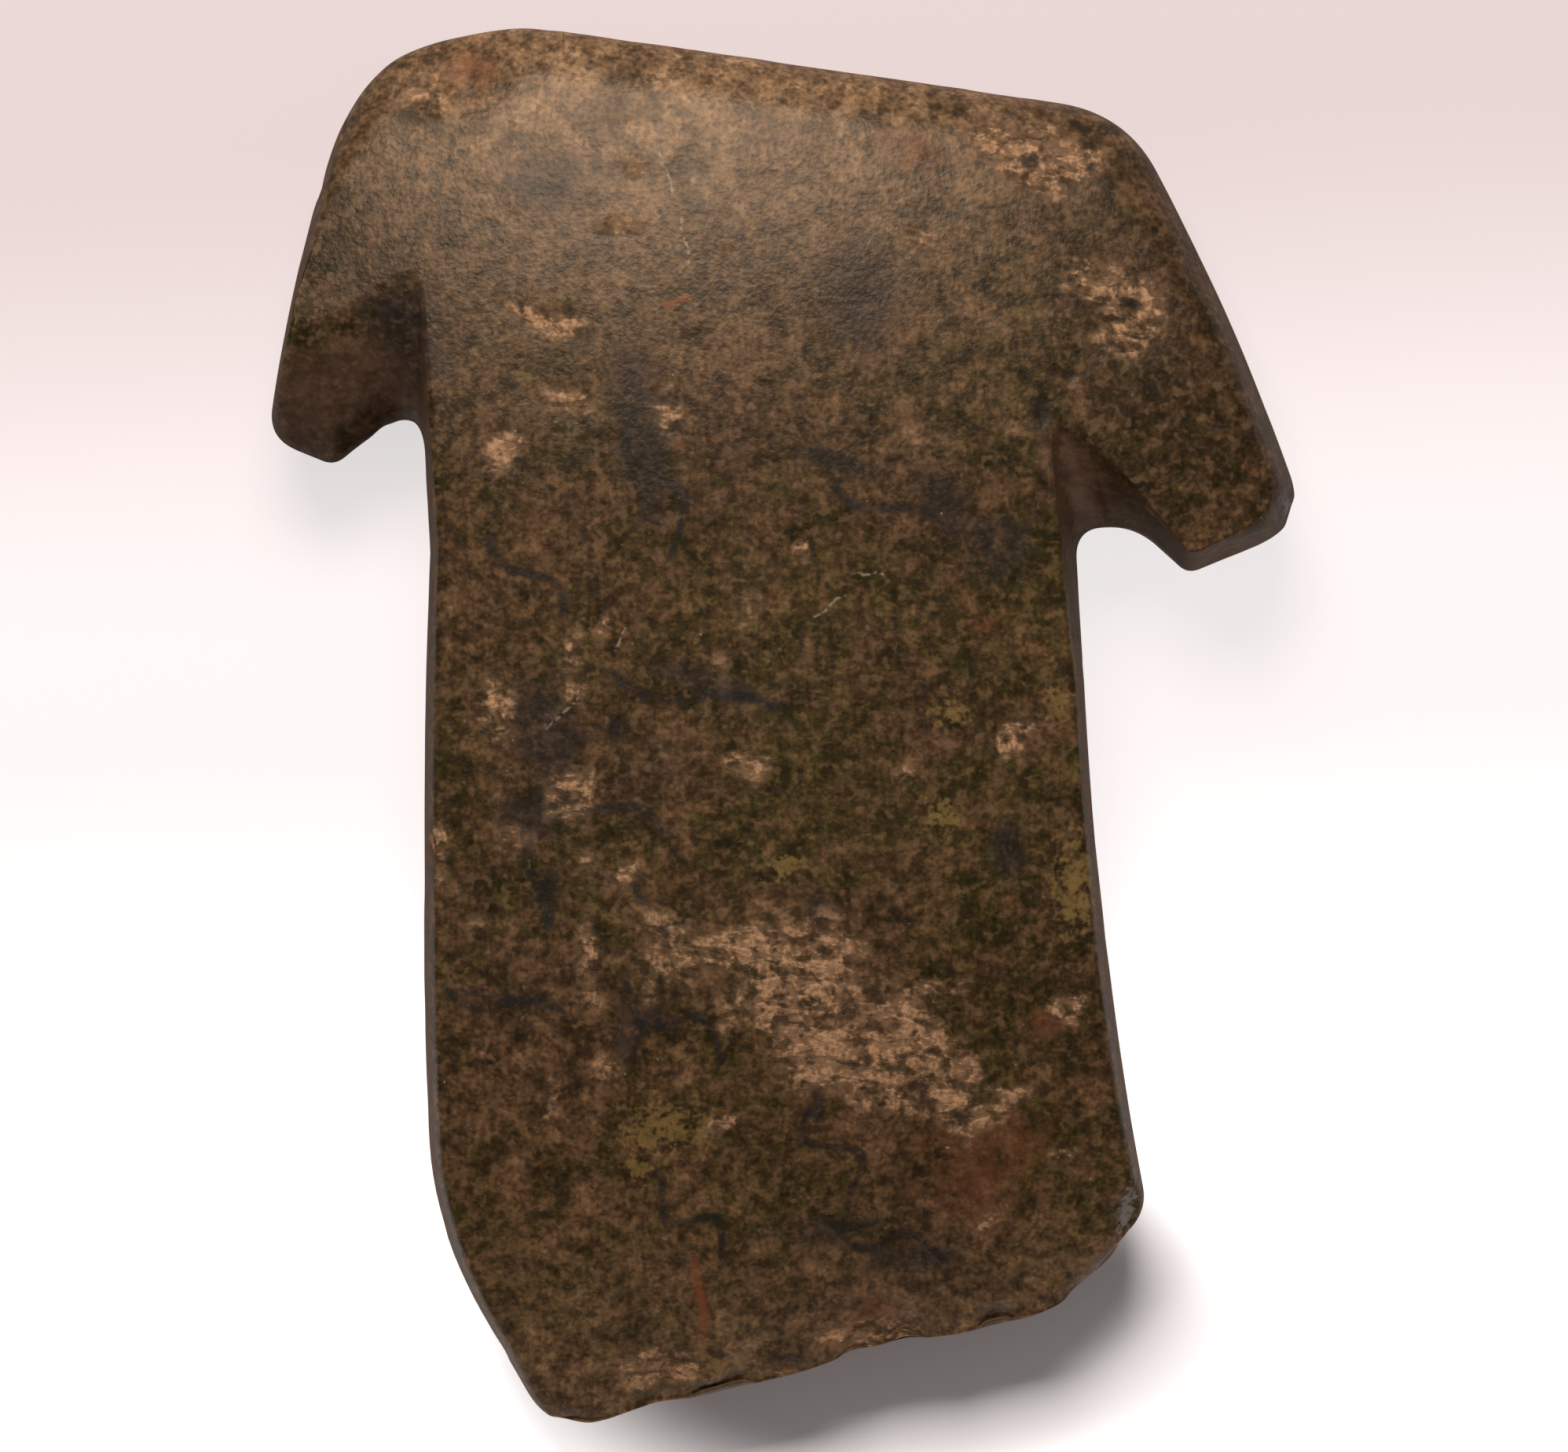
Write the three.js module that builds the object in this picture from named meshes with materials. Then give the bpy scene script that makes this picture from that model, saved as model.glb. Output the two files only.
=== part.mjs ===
import * as THREE from 'three';
import { mergeVertices } from 'three/addons/utils/BufferGeometryUtils.js';

// T-shaped stone axe head, ground from one cobble, lying on its back in millimetres.
// X runs across the blade, Y from the cutting edge to the butt, Z up through the thickness.

// Blade, measured from its centre line and up from the heel of the cutting edge
const heelAcross = 22.6;
const toeAcross = 25.4;
const toeRise = 8.8;
const bladeFlareLeft = 3.3;
const bladeFlareRight = 3.3;
const leftCornerRise = 19.5;
const rightCornerRise = 16.6;
const rightSideHollow = 0.9;
const leftSideSwell = 0.6;
const heelRound = 4.5;
const toeRound = 4.6;
const leftCornerRound = 9.0;
const rightCornerRound = 2.8;

// Neck, with a flat ground on each side where the lashing bears
const neckLeft = 29.0;
const neckRight = 29.7;
const neckFlatLength = 14.0;

// Right lug and the notch under it
const rightNotchRise = 79.3;
const rightNotchWidth = 5.5;
const rightNotchRound = 2.7;
const rightMouthWidth = 10.0;
const rightLugDrop = 4.7;
const rightLugLength = 21.1;
const rightLugHeelDrop = 0.8;
const rightLugRound = 5.0;

// Left lug and the notch under it
const leftNotchRise = 94.4;
const leftNotchRound = 5.0;
const leftMouthWidth = 8.3;
const leftLugDrop = 5.6;
const leftLugLength = 14.1;
const leftLugHeelDrop = 2.8;
const leftLugRound = 2.8;
const lugTipRound = 1.2;

// Head above the lugs
const rightHeadRise = 37.6;
const leftHeadRise = 35.8;
const rightFlankLean = 14.6;
const leftFlankLean = 12.9;
const rightFlankSwell = 1.1;
const leftFlankSwell = 1.5;
const buttRoundRight = 6.2;
const buttRoundLeft = 15.0;

// Thickness, above and below the level of the cutting edge
const frontRise = 12.6;
const backDepth = 10.4;
const backSwell = 1.3;
const edgeHalf = 0.7;
const bevelLength = 42.0;
const bevelRoundness = 1.9;
const crownDrop = 4.6;
const crownHalfWidth = 48.0;
const buttDrop = 4.0;

// Rounded margin between each broad face and the sides, seen from above
const neckMargin = 1.3;
const cornerMargin = 1.8;
const bitMargin = 1.6;
const flankMargin = 2.8;
const buttMargin = 5.4;
const lugMargin = 1.6;
const lugSideMargin = 2.5;

// Ground band left upright along the sides, half its height
const buttBand = 3.4;
const flankBand = 2.4;
const neckBand = 3.0;
const cornerBand = 1.7;
const lugBand = 2.4;

// Hollows ground up the faces from the two notches
const rightHollowRise = 12.0;
const rightHollowLean = 0.9;
const rightHollowKneeRise = 4.9;
const leftHollowRise = 12.4;
const leftLugBevel = 13.6;
const leftHeelBevel = 9.5;
const rightHollowTopRound = 4.8;
const leftHollowTopRound = 3.2;
const leftHeelBevelRound = 3.2;
const leftTipBevelRound = 1.3;
const hollowCurve = 1.25;

// How full the margins of the lugs are, from 0, hollow, to 1, a quarter round
const rightTipSwell = 0.25;
const rightLugSwell = 0.7;
const rightHollowSwell = 0.3;
const leftLugSwell = 0.5;
const leftTipSwell = 0.5;
const leftHollowSwell = 0.6;

// Where the two seams across the head meet the butt, as shares of its width from the right
const rightSeamShare = 0.26;
const leftSeamShare = 0.76;

// Chips struck off the edges: where, how far across, how deep into the outline and the face
const chips = [
  { x: 8.0, y: 5.0, radius: 8.5, bite: 0.6, dish: 0.10 },
  { x: -13.0, y: 1.2, radius: 4.5, bite: 0.35, dish: 0.30 },
  { x: 31.5, y: 15.5, radius: 4.6, bite: 0.4, dish: 0.18 },
  { x: -23.5, y: 125.5, radius: 7.0, bite: 0.6, dish: 0.13 },
];

// Spacing of the mesh, and the most of a side that the roundings at its two ends may take
const stepsAcrossMargin = 4;
const roundingRoom = 0.95;

// A corner of the outline. at is where its sides would meet at half thickness, round is what its rounding
// takes off them, and bow is how far the side before it swells. inward is the way from there to the same
// corner of the broad face, with its own faceRound. The margin between them is a quarter round where swell
// is 1 and a plain hollow where it is 0, and band is half the height left upright. steps counts the mesh
// along the side before the corner and round the corner, so that each face patch has equal opposite sides.
function corner(name, at, round, inward, faceRound, { bow = 0, swell = 1, band, steps }) {
  const face = [at[0] + inward[0], at[1] + inward[1]];
  return { name, at, round, face, faceRound, bow, swell, band, sideSteps: steps[0], turnSteps: steps[1] };
}

// Toe and right side of the blade, up to the top of the neck flat
function rightBladeCorners() {
  const bladeRight = [neckRight + bladeFlareRight, rightCornerRise];
  const neckFoot = [neckRight, rightNotchRise - neckFlatLength];
  return [
    corner('toe', [toeAcross, toeRise], toeRound, [-bitMargin / 2, bitMargin], toeRound, {
      band: edgeHalf, steps: [12, 4],
    }),
    corner('right blade', bladeRight, rightCornerRound, [-cornerMargin, bitMargin / 2], rightCornerRound, {
      band: cornerBand, steps: [3, 2],
    }),
    corner('right neck', neckFoot, 0, [-neckMargin, 0], 0, {
      bow: -rightSideHollow, band: neckBand, steps: [7, 0],
    }),
  ];
}

// Notch under the right lug and the lug itself
function rightLugCorners() {
  const rootEnd = [neckRight + rightNotchWidth, rightNotchRise];
  const tip = [neckRight + rightMouthWidth, rightNotchRise - rightLugDrop];
  const apex = [-neckMargin - rightHollowLean, rightHollowRise];
  return [
    corner('right root', [neckRight, rightNotchRise], rightNotchRound, apex, rightHollowTopRound, {
      swell: rightHollowSwell, band: lugBand, steps: [4, 6],
    }),
    corner('right root end', rootEnd, rightNotchRound, [-neckMargin, rightHollowKneeRise], rightNotchRound, {
      swell: rightHollowSwell, band: lugBand, steps: [1, 2],
    }),
    corner('right tip', tip, lugTipRound, [0, lugMargin], lugTipRound, {
      swell: rightTipSwell, band: lugBand, steps: [2, 2],
    }),
    corner('right lug', rightLugHeel(), rightLugRound, [-lugSideMargin, lugMargin], rightLugRound, {
      swell: rightLugSwell, band: lugBand, steps: [1, 4],
    }),
  ];
}

// Butt, with a corner at each flank and a point where each seam between the face patches meets it
function buttCorners() {
  const right = [rightLugHeel()[0] - rightFlankLean, rightNotchRise + rightHeadRise];
  const left = [leftLugHeel()[0] + leftFlankLean, leftNotchRise + leftHeadRise];
  const seams = [rightSeamShare, leftSeamShare].map((share) => (
    right.map((value, i) => value + (left[i] - value) * share)
  ));
  return [
    corner('butt right', right, buttRoundRight, [-flankMargin, -buttMargin], buttRoundRight, {
      bow: rightFlankSwell, band: flankBand, steps: [7, 4],
    }),
    corner('butt right seam', seams[0], 0, [0, -buttMargin], 0, { band: buttBand, steps: [11, 0] }),
    corner('butt left seam', seams[1], 0, [0, -buttMargin], 0, { band: buttBand, steps: [16, 0] }),
    corner('butt left', left, buttRoundLeft, [flankMargin, -buttMargin], buttRoundLeft, {
      band: flankBand, steps: [8, 8],
    }),
  ];
}

// Left lug and the notch under it, with the lug's whole end ground away in one broad bevel
function leftLugCorners() {
  const tip = [-neckLeft - leftMouthWidth, leftNotchRise - leftLugDrop];
  const apex = [neckMargin / 2, leftHollowRise];
  return [
    corner('left lug', leftLugHeel(), leftLugRound, [lugSideMargin, leftHeelBevel], leftHeelBevelRound, {
      bow: leftFlankSwell, swell: leftLugSwell, band: lugBand, steps: [5, 4],
    }),
    corner('left tip', tip, lugTipRound, [neckMargin, leftLugBevel], leftTipBevelRound, {
      swell: leftTipSwell, band: lugBand, steps: [2, 2],
    }),
    corner('left root', [-neckLeft, leftNotchRise], leftNotchRound, apex, leftHollowTopRound, {
      swell: leftHollowSwell, band: lugBand, steps: [3, 6],
    }),
  ];
}

// Left side of the blade down to the heel of the cutting edge
function leftBladeCorners() {
  const neckFoot = [-neckLeft, leftNotchRise - neckFlatLength];
  const bladeLeft = [-neckLeft - bladeFlareLeft, leftCornerRise];
  return [
    corner('left neck', neckFoot, 0, [neckMargin, 0], 0, { band: neckBand, steps: [4, 0] }),
    corner('left blade', bladeLeft, leftCornerRound, [cornerMargin, 0], leftCornerRound, {
      bow: leftSideSwell, band: cornerBand, steps: [7, 2],
    }),
    corner('heel', [-heelAcross, 0], heelRound, [bitMargin / 2, bitMargin], heelRound, {
      band: edgeHalf, steps: [3, 4],
    }),
  ];
}

function rightLugHeel() {
  return [neckRight + rightLugLength, rightNotchRise - rightLugHeelDrop];
}

function leftLugHeel() {
  return [-neckLeft - leftLugLength, leftNotchRise - leftLugHeelDrop];
}

// One side of the outline: a parabola that stands out from the straight line by its bow
function bowedSide(from, to, bow) {
  const along = to.clone().sub(from).normalize();
  const outward = new THREE.Vector2(along.y, -along.x);
  const middle = from.clone().lerp(to, 0.5).addScaledVector(outward, 2 * bow);
  return new THREE.QuadraticBezierCurve(from, middle, to);
}

// Where the line from p along d meets the line through q along e
function meetingPoint(p, d, q, e) {
  const reach = q.clone().sub(p).cross(e) / d.cross(e);
  return p.clone().addScaledVector(d, reach);
}

// Points once round the corners, each side followed by the rounding of its corner
function traceRing(corners, place, rounding) {
  const places = corners.map((each) => new THREE.Vector2(...each[place]));
  const sides = corners.map((each, i) => bowedSide(places.at(i - 1), places[i], each.bow));
  const shares = sides.map((side, i) => {
    const before = corners.at(i - 1)[rounding];
    const after = corners[i][rounding];
    const room = Math.max(before + after, side.getLength() * roundingRoom) / roundingRoom;
    return { start: before / room, end: 1 - after / room };
  });
  const points = [];
  corners.forEach((each, i) => {
    const side = sides[i];
    const next = (i + 1) % corners.length;
    for (let k = 0; k < each.sideSteps; k += 1) {
      const share = THREE.MathUtils.lerp(shares[i].start, shares[i].end, k / each.sideSteps);
      points.push(side.getPoint(share));
    }
    if (each.turnSteps > 0) {
      const first = side.getPoint(shares[i].end);
      const last = sides[next].getPoint(shares[next].start);
      const along = side.getTangent(shares[i].end);
      const knee = meetingPoint(first, along, last, sides[next].getTangent(shares[next].start));
      const turn = new THREE.QuadraticBezierCurve(first, knee, last);
      for (let k = 0; k < each.turnSteps; k += 1) {
        points.push(turn.getPoint(k / each.turnSteps));
      }
    }
  });
  return points;
}

// A corner's value carried round the ring: steady in the rounding, changing evenly along the sides
function traceValue(corners, key) {
  const values = [];
  corners.forEach((each, i) => {
    const before = corners.at(i - 1)[key];
    for (let k = 0; k < each.sideSteps; k += 1) {
      values.push(THREE.MathUtils.lerp(before, each[key], k / each.sideSteps));
    }
    for (let k = 0; k < each.turnSteps; k += 1) {
      values.push(each[key]);
    }
  });
  return values;
}

// Index on the ring of the middle of each corner
function markCorners(corners) {
  const marks = {};
  let index = 0;
  for (const each of corners) {
    index += each.sideSteps;
    marks[each.name] = index + each.turnSteps / 2;
    index += each.turnSteps;
  }
  return marks;
}

// How strongly a chip acts at a point, from 1 at its middle to 0 at its rim
function chipShare(chip, x, y) {
  const share = Math.hypot(x - chip.x, y - chip.y) / chip.radius;
  return share < 1 ? (1 - share * share) ** 2 : 0;
}

// Draws a ring in towards the middle of the blade where a chip has bitten the edge
function biteRing(points, middle) {
  for (const point of points) {
    const inward = middle.clone().sub(point).normalize();
    const depth = chips.reduce((sum, chip) => sum + chip.bite * chipShare(chip, point.x, point.y), 0);
    point.addScaledVector(inward, depth);
  }
}

// Half thickness of the plain lens: crowned across, thinning to the butt and curving down to the edge
function lensHeight(x, y, rise) {
  const edgeLine = toeRise * (x + heelAcross) / (toeAcross + heelAcross);
  const reach = THREE.MathUtils.clamp((y - edgeLine) / bevelLength, 0, 1);
  const bevel = 1 - (1 - reach) ** bevelRoundness;
  const crown = crownDrop * (x / crownHalfWidth) ** 2;
  const headShare = Math.max(0, y - rightNotchRise) / (rightHeadRise + leftHeadRise) * 2;
  const full = rise - crown - buttDrop * headShare ** 2;
  return edgeHalf + (full - edgeHalf) * bevel;
}

function frontHeight(x, y) {
  const dish = chips.reduce((sum, chip) => sum + chip.dish * chipShare(chip, x, y), 0);
  return lensHeight(x, y, frontRise) * (1 - dish);
}

function backHeight(x, y) {
  return Math.min(lensHeight(x, y, backDepth + backSwell), backDepth);
}

// Rows of points from the side of the stone up its margin to the broad face
function marginRows(outer, inner, swells, bands, heightOf, sign) {
  const rows = [];
  for (let k = 0; k <= stepsAcrossMargin; k += 1) {
    const share = k / stepsAcrossMargin;
    const quarter = share * Math.PI / 2;
    rows.push(outer.map((point, i) => {
      const swell = swells[i];
      const travel = THREE.MathUtils.lerp(share, 1 - Math.cos(quarter), swell);
      const climb = THREE.MathUtils.lerp(share ** hollowCurve, Math.sin(quarter), swell);
      const flat = point.clone().lerp(inner[i], travel);
      const top = heightOf(flat.x, flat.y);
      const band = Math.min(bands[i], top);
      return new THREE.Vector3(flat.x, flat.y, backDepth + sign * (band + (top - band) * climb));
    }));
  }
  return rows;
}

// Surface over four boundary lines: the two ruled surfaces added, less the one through the corners
function fillBetween(bottom, top, left, right) {
  const rows = [];
  for (let j = 0; j < left.length; j += 1) {
    const v = j / (left.length - 1);
    rows.push(bottom.map((low, i) => {
      const u = i / (bottom.length - 1);
      const ruledUp = low.clone().lerp(top[i], v);
      const ruledAcross = left[j].clone().lerp(right[j], u);
      const foot = bottom[0].clone().lerp(bottom.at(-1), u);
      const head = top[0].clone().lerp(top.at(-1), u);
      return ruledUp.add(ruledAcross).sub(foot.lerp(head, v));
    }));
  }
  return rows;
}

// Stretch of a ring between two marks, counted the way the ring runs
function stretch(ring, from, to) {
  const points = [];
  const last = to < from ? to + ring.length : to;
  for (let i = from; i <= last; i += 1) {
    points.push(ring[i % ring.length]);
  }
  return points;
}

// Straight line in even steps, ends included
function straightLine(from, to, steps) {
  return Array.from({ length: steps + 1 }, (_, k) => from.clone().lerp(to, k / steps));
}

// Broad face in three patches: the body, the right lug and the left lug
function facePatches(ring, marks) {
  const rightSeam = straightLine(
    ring[marks['right root']], ring[marks['butt right seam']], marks['butt right'] - marks['right lug'],
  );
  const leftSeam = straightLine(
    ring[marks['left root']], ring[marks['butt left seam']], marks['left lug'] - marks['butt left'],
  );
  const bit = stretch(ring, marks.heel, marks.toe);
  const butt = stretch(ring, marks['butt right seam'], marks['butt left seam']).reverse();
  const leftSide = stretch(ring, marks['left root'], marks.heel).reverse();
  const rightSide = stretch(ring, marks.toe, marks['right root']);
  const body = fillBetween(
    bit, butt, leftSide.concat(leftSeam.slice(1)), rightSide.concat(rightSeam.slice(1)),
  );
  const rightLug = fillBetween(
    stretch(ring, marks['right root'], marks['right lug']),
    stretch(ring, marks['butt right'], marks['butt right seam']).reverse(),
    rightSeam,
    stretch(ring, marks['right lug'], marks['butt right']),
  );
  const leftLug = fillBetween(
    stretch(ring, marks['left lug'], marks['left root']),
    stretch(ring, marks['butt left seam'], marks['butt left']).reverse(),
    stretch(ring, marks['butt left'], marks['left lug']).reverse(),
    leftSeam,
  );
  return [body, rightLug, leftLug];
}

// Two triangles for each cell of a grid of rows, turned over where the surface looks the other way
function pushGrid(corners, rows, closed, turned) {
  for (let j = 0; j + 1 < rows.length; j += 1) {
    const width = rows[j].length;
    for (let i = 0; i < (closed ? width : width - 1); i += 1) {
      const next = (i + 1) % width;
      const cell = [rows[j][i], rows[j][next], rows[j + 1][next], rows[j + 1][i]];
      const order = turned ? [0, 2, 1, 0, 3, 2] : [0, 1, 2, 0, 2, 3];
      corners.push(...order.map((k) => cell[k]));
    }
  }
}

// Lifts a flat grid to the face above the middle level, or drops it to the one below
function raiseGrid(rows, heightOf, sign) {
  return rows.map((row) => row.map(({ x, y }) => (
    new THREE.Vector3(x, y, backDepth + sign * heightOf(x, y))
  )));
}

function axeHeadGeometry() {
  const corners = [
    ...rightBladeCorners(),
    ...rightLugCorners(),
    ...buttCorners(),
    ...leftLugCorners(),
    ...leftBladeCorners(),
  ];
  const outer = traceRing(corners, 'at', 'round');
  const inner = traceRing(corners, 'face', 'faceRound');
  const middle = new THREE.Vector2(0, rightNotchRise);
  biteRing(outer, middle);
  biteRing(inner, middle);
  const swells = traceValue(corners, 'swell');
  const bands = traceValue(corners, 'band');
  const marks = markCorners(corners);
  const front = marginRows(outer, inner, swells, bands, frontHeight, 1);
  const back = marginRows(outer, inner, swells, bands, backHeight, -1);

  const triangleCorners = [];
  pushGrid(triangleCorners, [back[0], front[0]], true, false);
  pushGrid(triangleCorners, front, true, false);
  pushGrid(triangleCorners, back, true, true);
  for (const patch of facePatches(inner, marks)) {
    pushGrid(triangleCorners, raiseGrid(patch, frontHeight, 1), false, false);
    pushGrid(triangleCorners, raiseGrid(patch, backHeight, -1), false, true);
  }

  const geometry = new THREE.BufferGeometry().setFromPoints(triangleCorners);
  geometry.computeBoundingBox();
  const box = geometry.boundingBox;
  geometry.translate(-(box.min.x + box.max.x) / 2, -(box.min.y + box.max.y) / 2, -box.min.z);
  const merged = mergeVertices(geometry, 1e-4);
  merged.computeVertexNormals();
  return merged;
}

const polishedStone = new THREE.MeshStandardMaterial({ color: 0x493d2c, roughness: 0.55, metalness: 0 });
const axeHead = new THREE.Mesh(axeHeadGeometry(), polishedStone);
axeHead.name = 'axe_head';

const axe = new THREE.Group();
axe.add(axeHead);

export default axe;
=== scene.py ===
"""Looks of a T-shaped polished stone axe head, lying on a pale table and seen from straight above.

The stone is the same surface as its CAD solid, traced on a finer grid and then worn: low ripples, pecked
patches that the grinding never reached, small pits and nicks along the cutting edge.
"""

import math
from dataclasses import dataclass

import bpy
import numpy as np
from bpy.props import FloatProperty, FloatVectorProperty, IntProperty, PointerProperty
from mathutils import Matrix, Vector


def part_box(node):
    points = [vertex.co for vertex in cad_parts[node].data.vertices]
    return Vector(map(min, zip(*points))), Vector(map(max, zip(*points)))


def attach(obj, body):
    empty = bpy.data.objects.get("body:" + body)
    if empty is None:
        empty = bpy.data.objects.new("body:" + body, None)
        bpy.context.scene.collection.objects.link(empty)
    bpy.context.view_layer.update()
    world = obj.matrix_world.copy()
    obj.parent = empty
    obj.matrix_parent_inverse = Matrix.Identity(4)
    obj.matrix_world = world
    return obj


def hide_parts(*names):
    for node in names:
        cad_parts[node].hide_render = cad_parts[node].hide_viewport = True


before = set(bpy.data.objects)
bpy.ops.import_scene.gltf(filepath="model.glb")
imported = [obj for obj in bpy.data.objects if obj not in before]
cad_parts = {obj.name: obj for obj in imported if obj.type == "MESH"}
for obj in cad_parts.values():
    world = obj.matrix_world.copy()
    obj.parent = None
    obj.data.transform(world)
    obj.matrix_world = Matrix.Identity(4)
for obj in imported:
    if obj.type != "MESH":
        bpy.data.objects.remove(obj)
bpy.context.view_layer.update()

bl_info = {
    "name": "Stone axe head",
    "version": (1, 0, 0),
    "blender": (4, 5, 0),
    "location": "View3D > Sidebar > Axe",
    "description": "Builds a worn T-shaped stone axe head and the table that it lies on",
    "category": "Object",
}

CAD_NODE = "axe_head"
MILLIMETRE = 0.001
WELD_DISTANCE = 1e-7
SENSOR_WIDTH = 36.0

# Steps in which a side's length is measured, and the largest share of it that its roundings may take
SPAN_STEPS = 200
ROUNDED_SHARE = 0.95


def length(millimetres, description=""):
    """A length that a user can change, given here in millimetres."""
    metres = millimetres * MILLIMETRE
    return FloatProperty(description=description, default=metres, unit="LENGTH", precision=5)


def share(value, description=""):
    """A plain number that a user can change."""
    return FloatProperty(description=description, default=value, subtype="FACTOR")


def colour(value, description=""):
    """A linear colour that a user can change."""
    return FloatVectorProperty(
        description=description, default=value, subtype="COLOR", size=3, min=0.0, max=1.0
    )


class BladeSizes(bpy.types.PropertyGroup):
    """Blade and neck, measured from the blade's centre line and up from the heel of the cutting edge.

    A flare is how far a corner stands out from the neck, a swell or hollow is how far a side bows out or in,
    and a rounding is the length that it takes off each side of its corner.
    """

    heel_across: length(22.6)
    toe_across: length(25.4)
    toe_rise: length(8.8)
    flare_left: length(3.3)
    flare_right: length(3.3)
    left_corner_rise: length(19.5)
    right_corner_rise: length(16.6)
    right_side_hollow: length(0.9)
    left_side_swell: length(0.6)
    heel_round: length(4.5)
    toe_round: length(4.6)
    left_corner_round: length(9.0)
    right_corner_round: length(2.8)
    neck_left: length(29.0)
    neck_right: length(29.7)
    neck_flat: length(14.0)


class LugSizes(bpy.types.PropertyGroup):
    """The two lugs and the notches under them.

    A notch rises to its root from the heel. Mouths and lugs reach out from the neck, and drops go down from
    the root to the tip or to the outer end.
    """

    right_notch_rise: length(79.3)
    right_notch_width: length(5.5)
    right_notch_round: length(2.7)
    right_mouth_width: length(10.0)
    right_lug_drop: length(4.7)
    right_lug_length: length(21.1)
    right_lug_heel_drop: length(0.8)
    right_lug_round: length(5.0)
    left_notch_rise: length(94.4)
    left_notch_round: length(5.0)
    left_mouth_width: length(8.3)
    left_lug_drop: length(5.6)
    left_lug_length: length(14.1)
    left_lug_heel_drop: length(2.8)
    left_lug_round: length(2.8)
    tip_round: length(1.2)


class HeadSizes(bpy.types.PropertyGroup):
    """Head above the lugs, and the thickness of the whole stone.

    A rise goes from a root up to that end of the butt, and a lean goes in from the end of the lug below it.
    """

    right_rise: length(37.6)
    left_rise: length(35.8)
    right_flank_lean: length(14.6)
    left_flank_lean: length(12.9)
    right_flank_swell: length(1.1)
    left_flank_swell: length(1.5)
    butt_round_right: length(6.2)
    butt_round_left: length(15.0)
    front_rise: length(12.6, "Shown face above the level of the edge")
    back_depth: length(10.4, "Flat of the hidden face below the level of the edge")
    back_swell: length(1.3, "How much of the hidden face the flat cuts off")
    edge_half: length(0.7, "Half of what is left at the cutting edge")
    bevel: length(42.0, "Length over which the blade thins to its edge")
    bevel_power: share(1.9, "1 for a straight wedge and more for a round one")
    crown_drop: length(4.6, "How much lower the face is at the crown's half width")
    crown_half_width: length(48.0, "Distance from the centre line of that drop")
    butt_drop: length(4.0, "How much thinner each face is at the butt")


class MarginSizes(bpy.types.PropertyGroup):
    """Widths of the rounded margins, half heights of the upright bands, and the hollows above the notches.

    Hollows and bevels rise from their root or tip. A margin with a swell of 1 is a quarter round, and one
    with 0 is hollow by the hollow power. A seam is its share of the way along the butt.
    """

    neck: length(1.3)
    corner: length(1.8)
    bit: length(1.6)
    flank: length(2.8)
    butt: length(5.4)
    lug: length(1.6)
    lug_side: length(2.5)
    butt_band: length(3.4)
    flank_band: length(2.4)
    neck_band: length(3.0)
    corner_band: length(1.7)
    lug_band: length(2.4)
    right_hollow: length(12.0)
    right_hollow_lean: length(0.9)
    right_hollow_knee: length(4.9)
    left_hollow: length(12.4)
    left_lug_bevel: length(13.6)
    left_heel_bevel: length(9.5)
    right_hollow_top_round: length(4.8)
    left_hollow_top_round: length(3.2)
    left_heel_bevel_round: length(3.2)
    left_tip_bevel_round: length(1.3)
    hollow_power: share(1.25)
    right_tip_swell: share(0.25)
    right_lug_swell: share(0.7)
    right_hollow_swell: share(0.3)
    left_lug_swell: share(0.5)
    left_tip_swell: share(0.5)
    left_hollow_swell: share(0.6)
    right_seam: share(0.26)
    left_seam: share(0.76)


class ReliefSizes(bpy.types.PropertyGroup):
    """Wear of the surface."""

    fineness: IntProperty(description="Steps for each step of the solid", default=6)
    margin_steps: IntProperty(description="Rows across each margin", default=12)
    band_steps: IntProperty(description="Rows up the upright band", default=6)
    ripple: length(0.16, "Depth of the slow unevenness of the ground faces")
    grain: length(0.07, "Depth of the quick unevenness of the ground faces")
    peck_depth: length(0.22, "How far the pecked patches lie below the ground face")
    peck_lumps: length(0.50, "Height of the lumps inside a pecked patch")
    pit_depth: length(0.14, "Depth of the deeper pits")
    scar_depth: length(0.22, "Depth of the small chips at the corners")
    nick_depth: length(0.60, "Depth of the nicks along the cutting edge")


class StoneColours(bpy.types.PropertyGroup):
    """Colours of the stone and how glossy it is."""

    olive: colour((0.031, 0.0225, 0.0055), "Greenish ground colour")
    brown: colour((0.033, 0.0170, 0.0078), "Brownish ground colour")
    russet: colour((0.068, 0.034, 0.0155), "Warm brown blotches")
    # This lighter pinkish brown is painted light over the head and near the cutting edge, and a random tone
    # elsewhere
    rose: colour((0.079, 0.0445, 0.0225), "Pinkish colour of the head")
    # This colour is also the painted shade in the pecked hollows and in the nicks
    dark: colour((0.009, 0.0065, 0.005), "Dark clouds and grains")
    tan: colour((0.105, 0.058, 0.029), "Light grains")
    # This colour also gives the painted highlights on the pecked flakes
    peach: colour((0.300, 0.163, 0.086), "Pecked patches")
    crust: colour((0.125, 0.078, 0.024), "Yellow-green crust")
    rust: colour((0.070, 0.022, 0.009), "Rust-red stains")
    # This colour is painted shade: the darker brown laid into the hollows and over the upright sides
    shade: colour((0.049, 0.0255, 0.0155), "Smooth dark brown inside the hollows")
    # This colour also gives the light specks that are painted glints
    scratch: colour((0.240, 0.190, 0.145), "Light scratches")
    # Fresh grey stone in the chips, lightened further as a painted glint
    glint: colour((0.140, 0.132, 0.126), "Fresh grey stone in a chip")
    smudge: colour((0.0075, 0.0075, 0.0080), "Faded blue-black smudges")
    polish_roughness: share(0.34, "Roughness of the ground faces")
    peck_roughness: share(0.80, "Roughness of the pecked patches")


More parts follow.
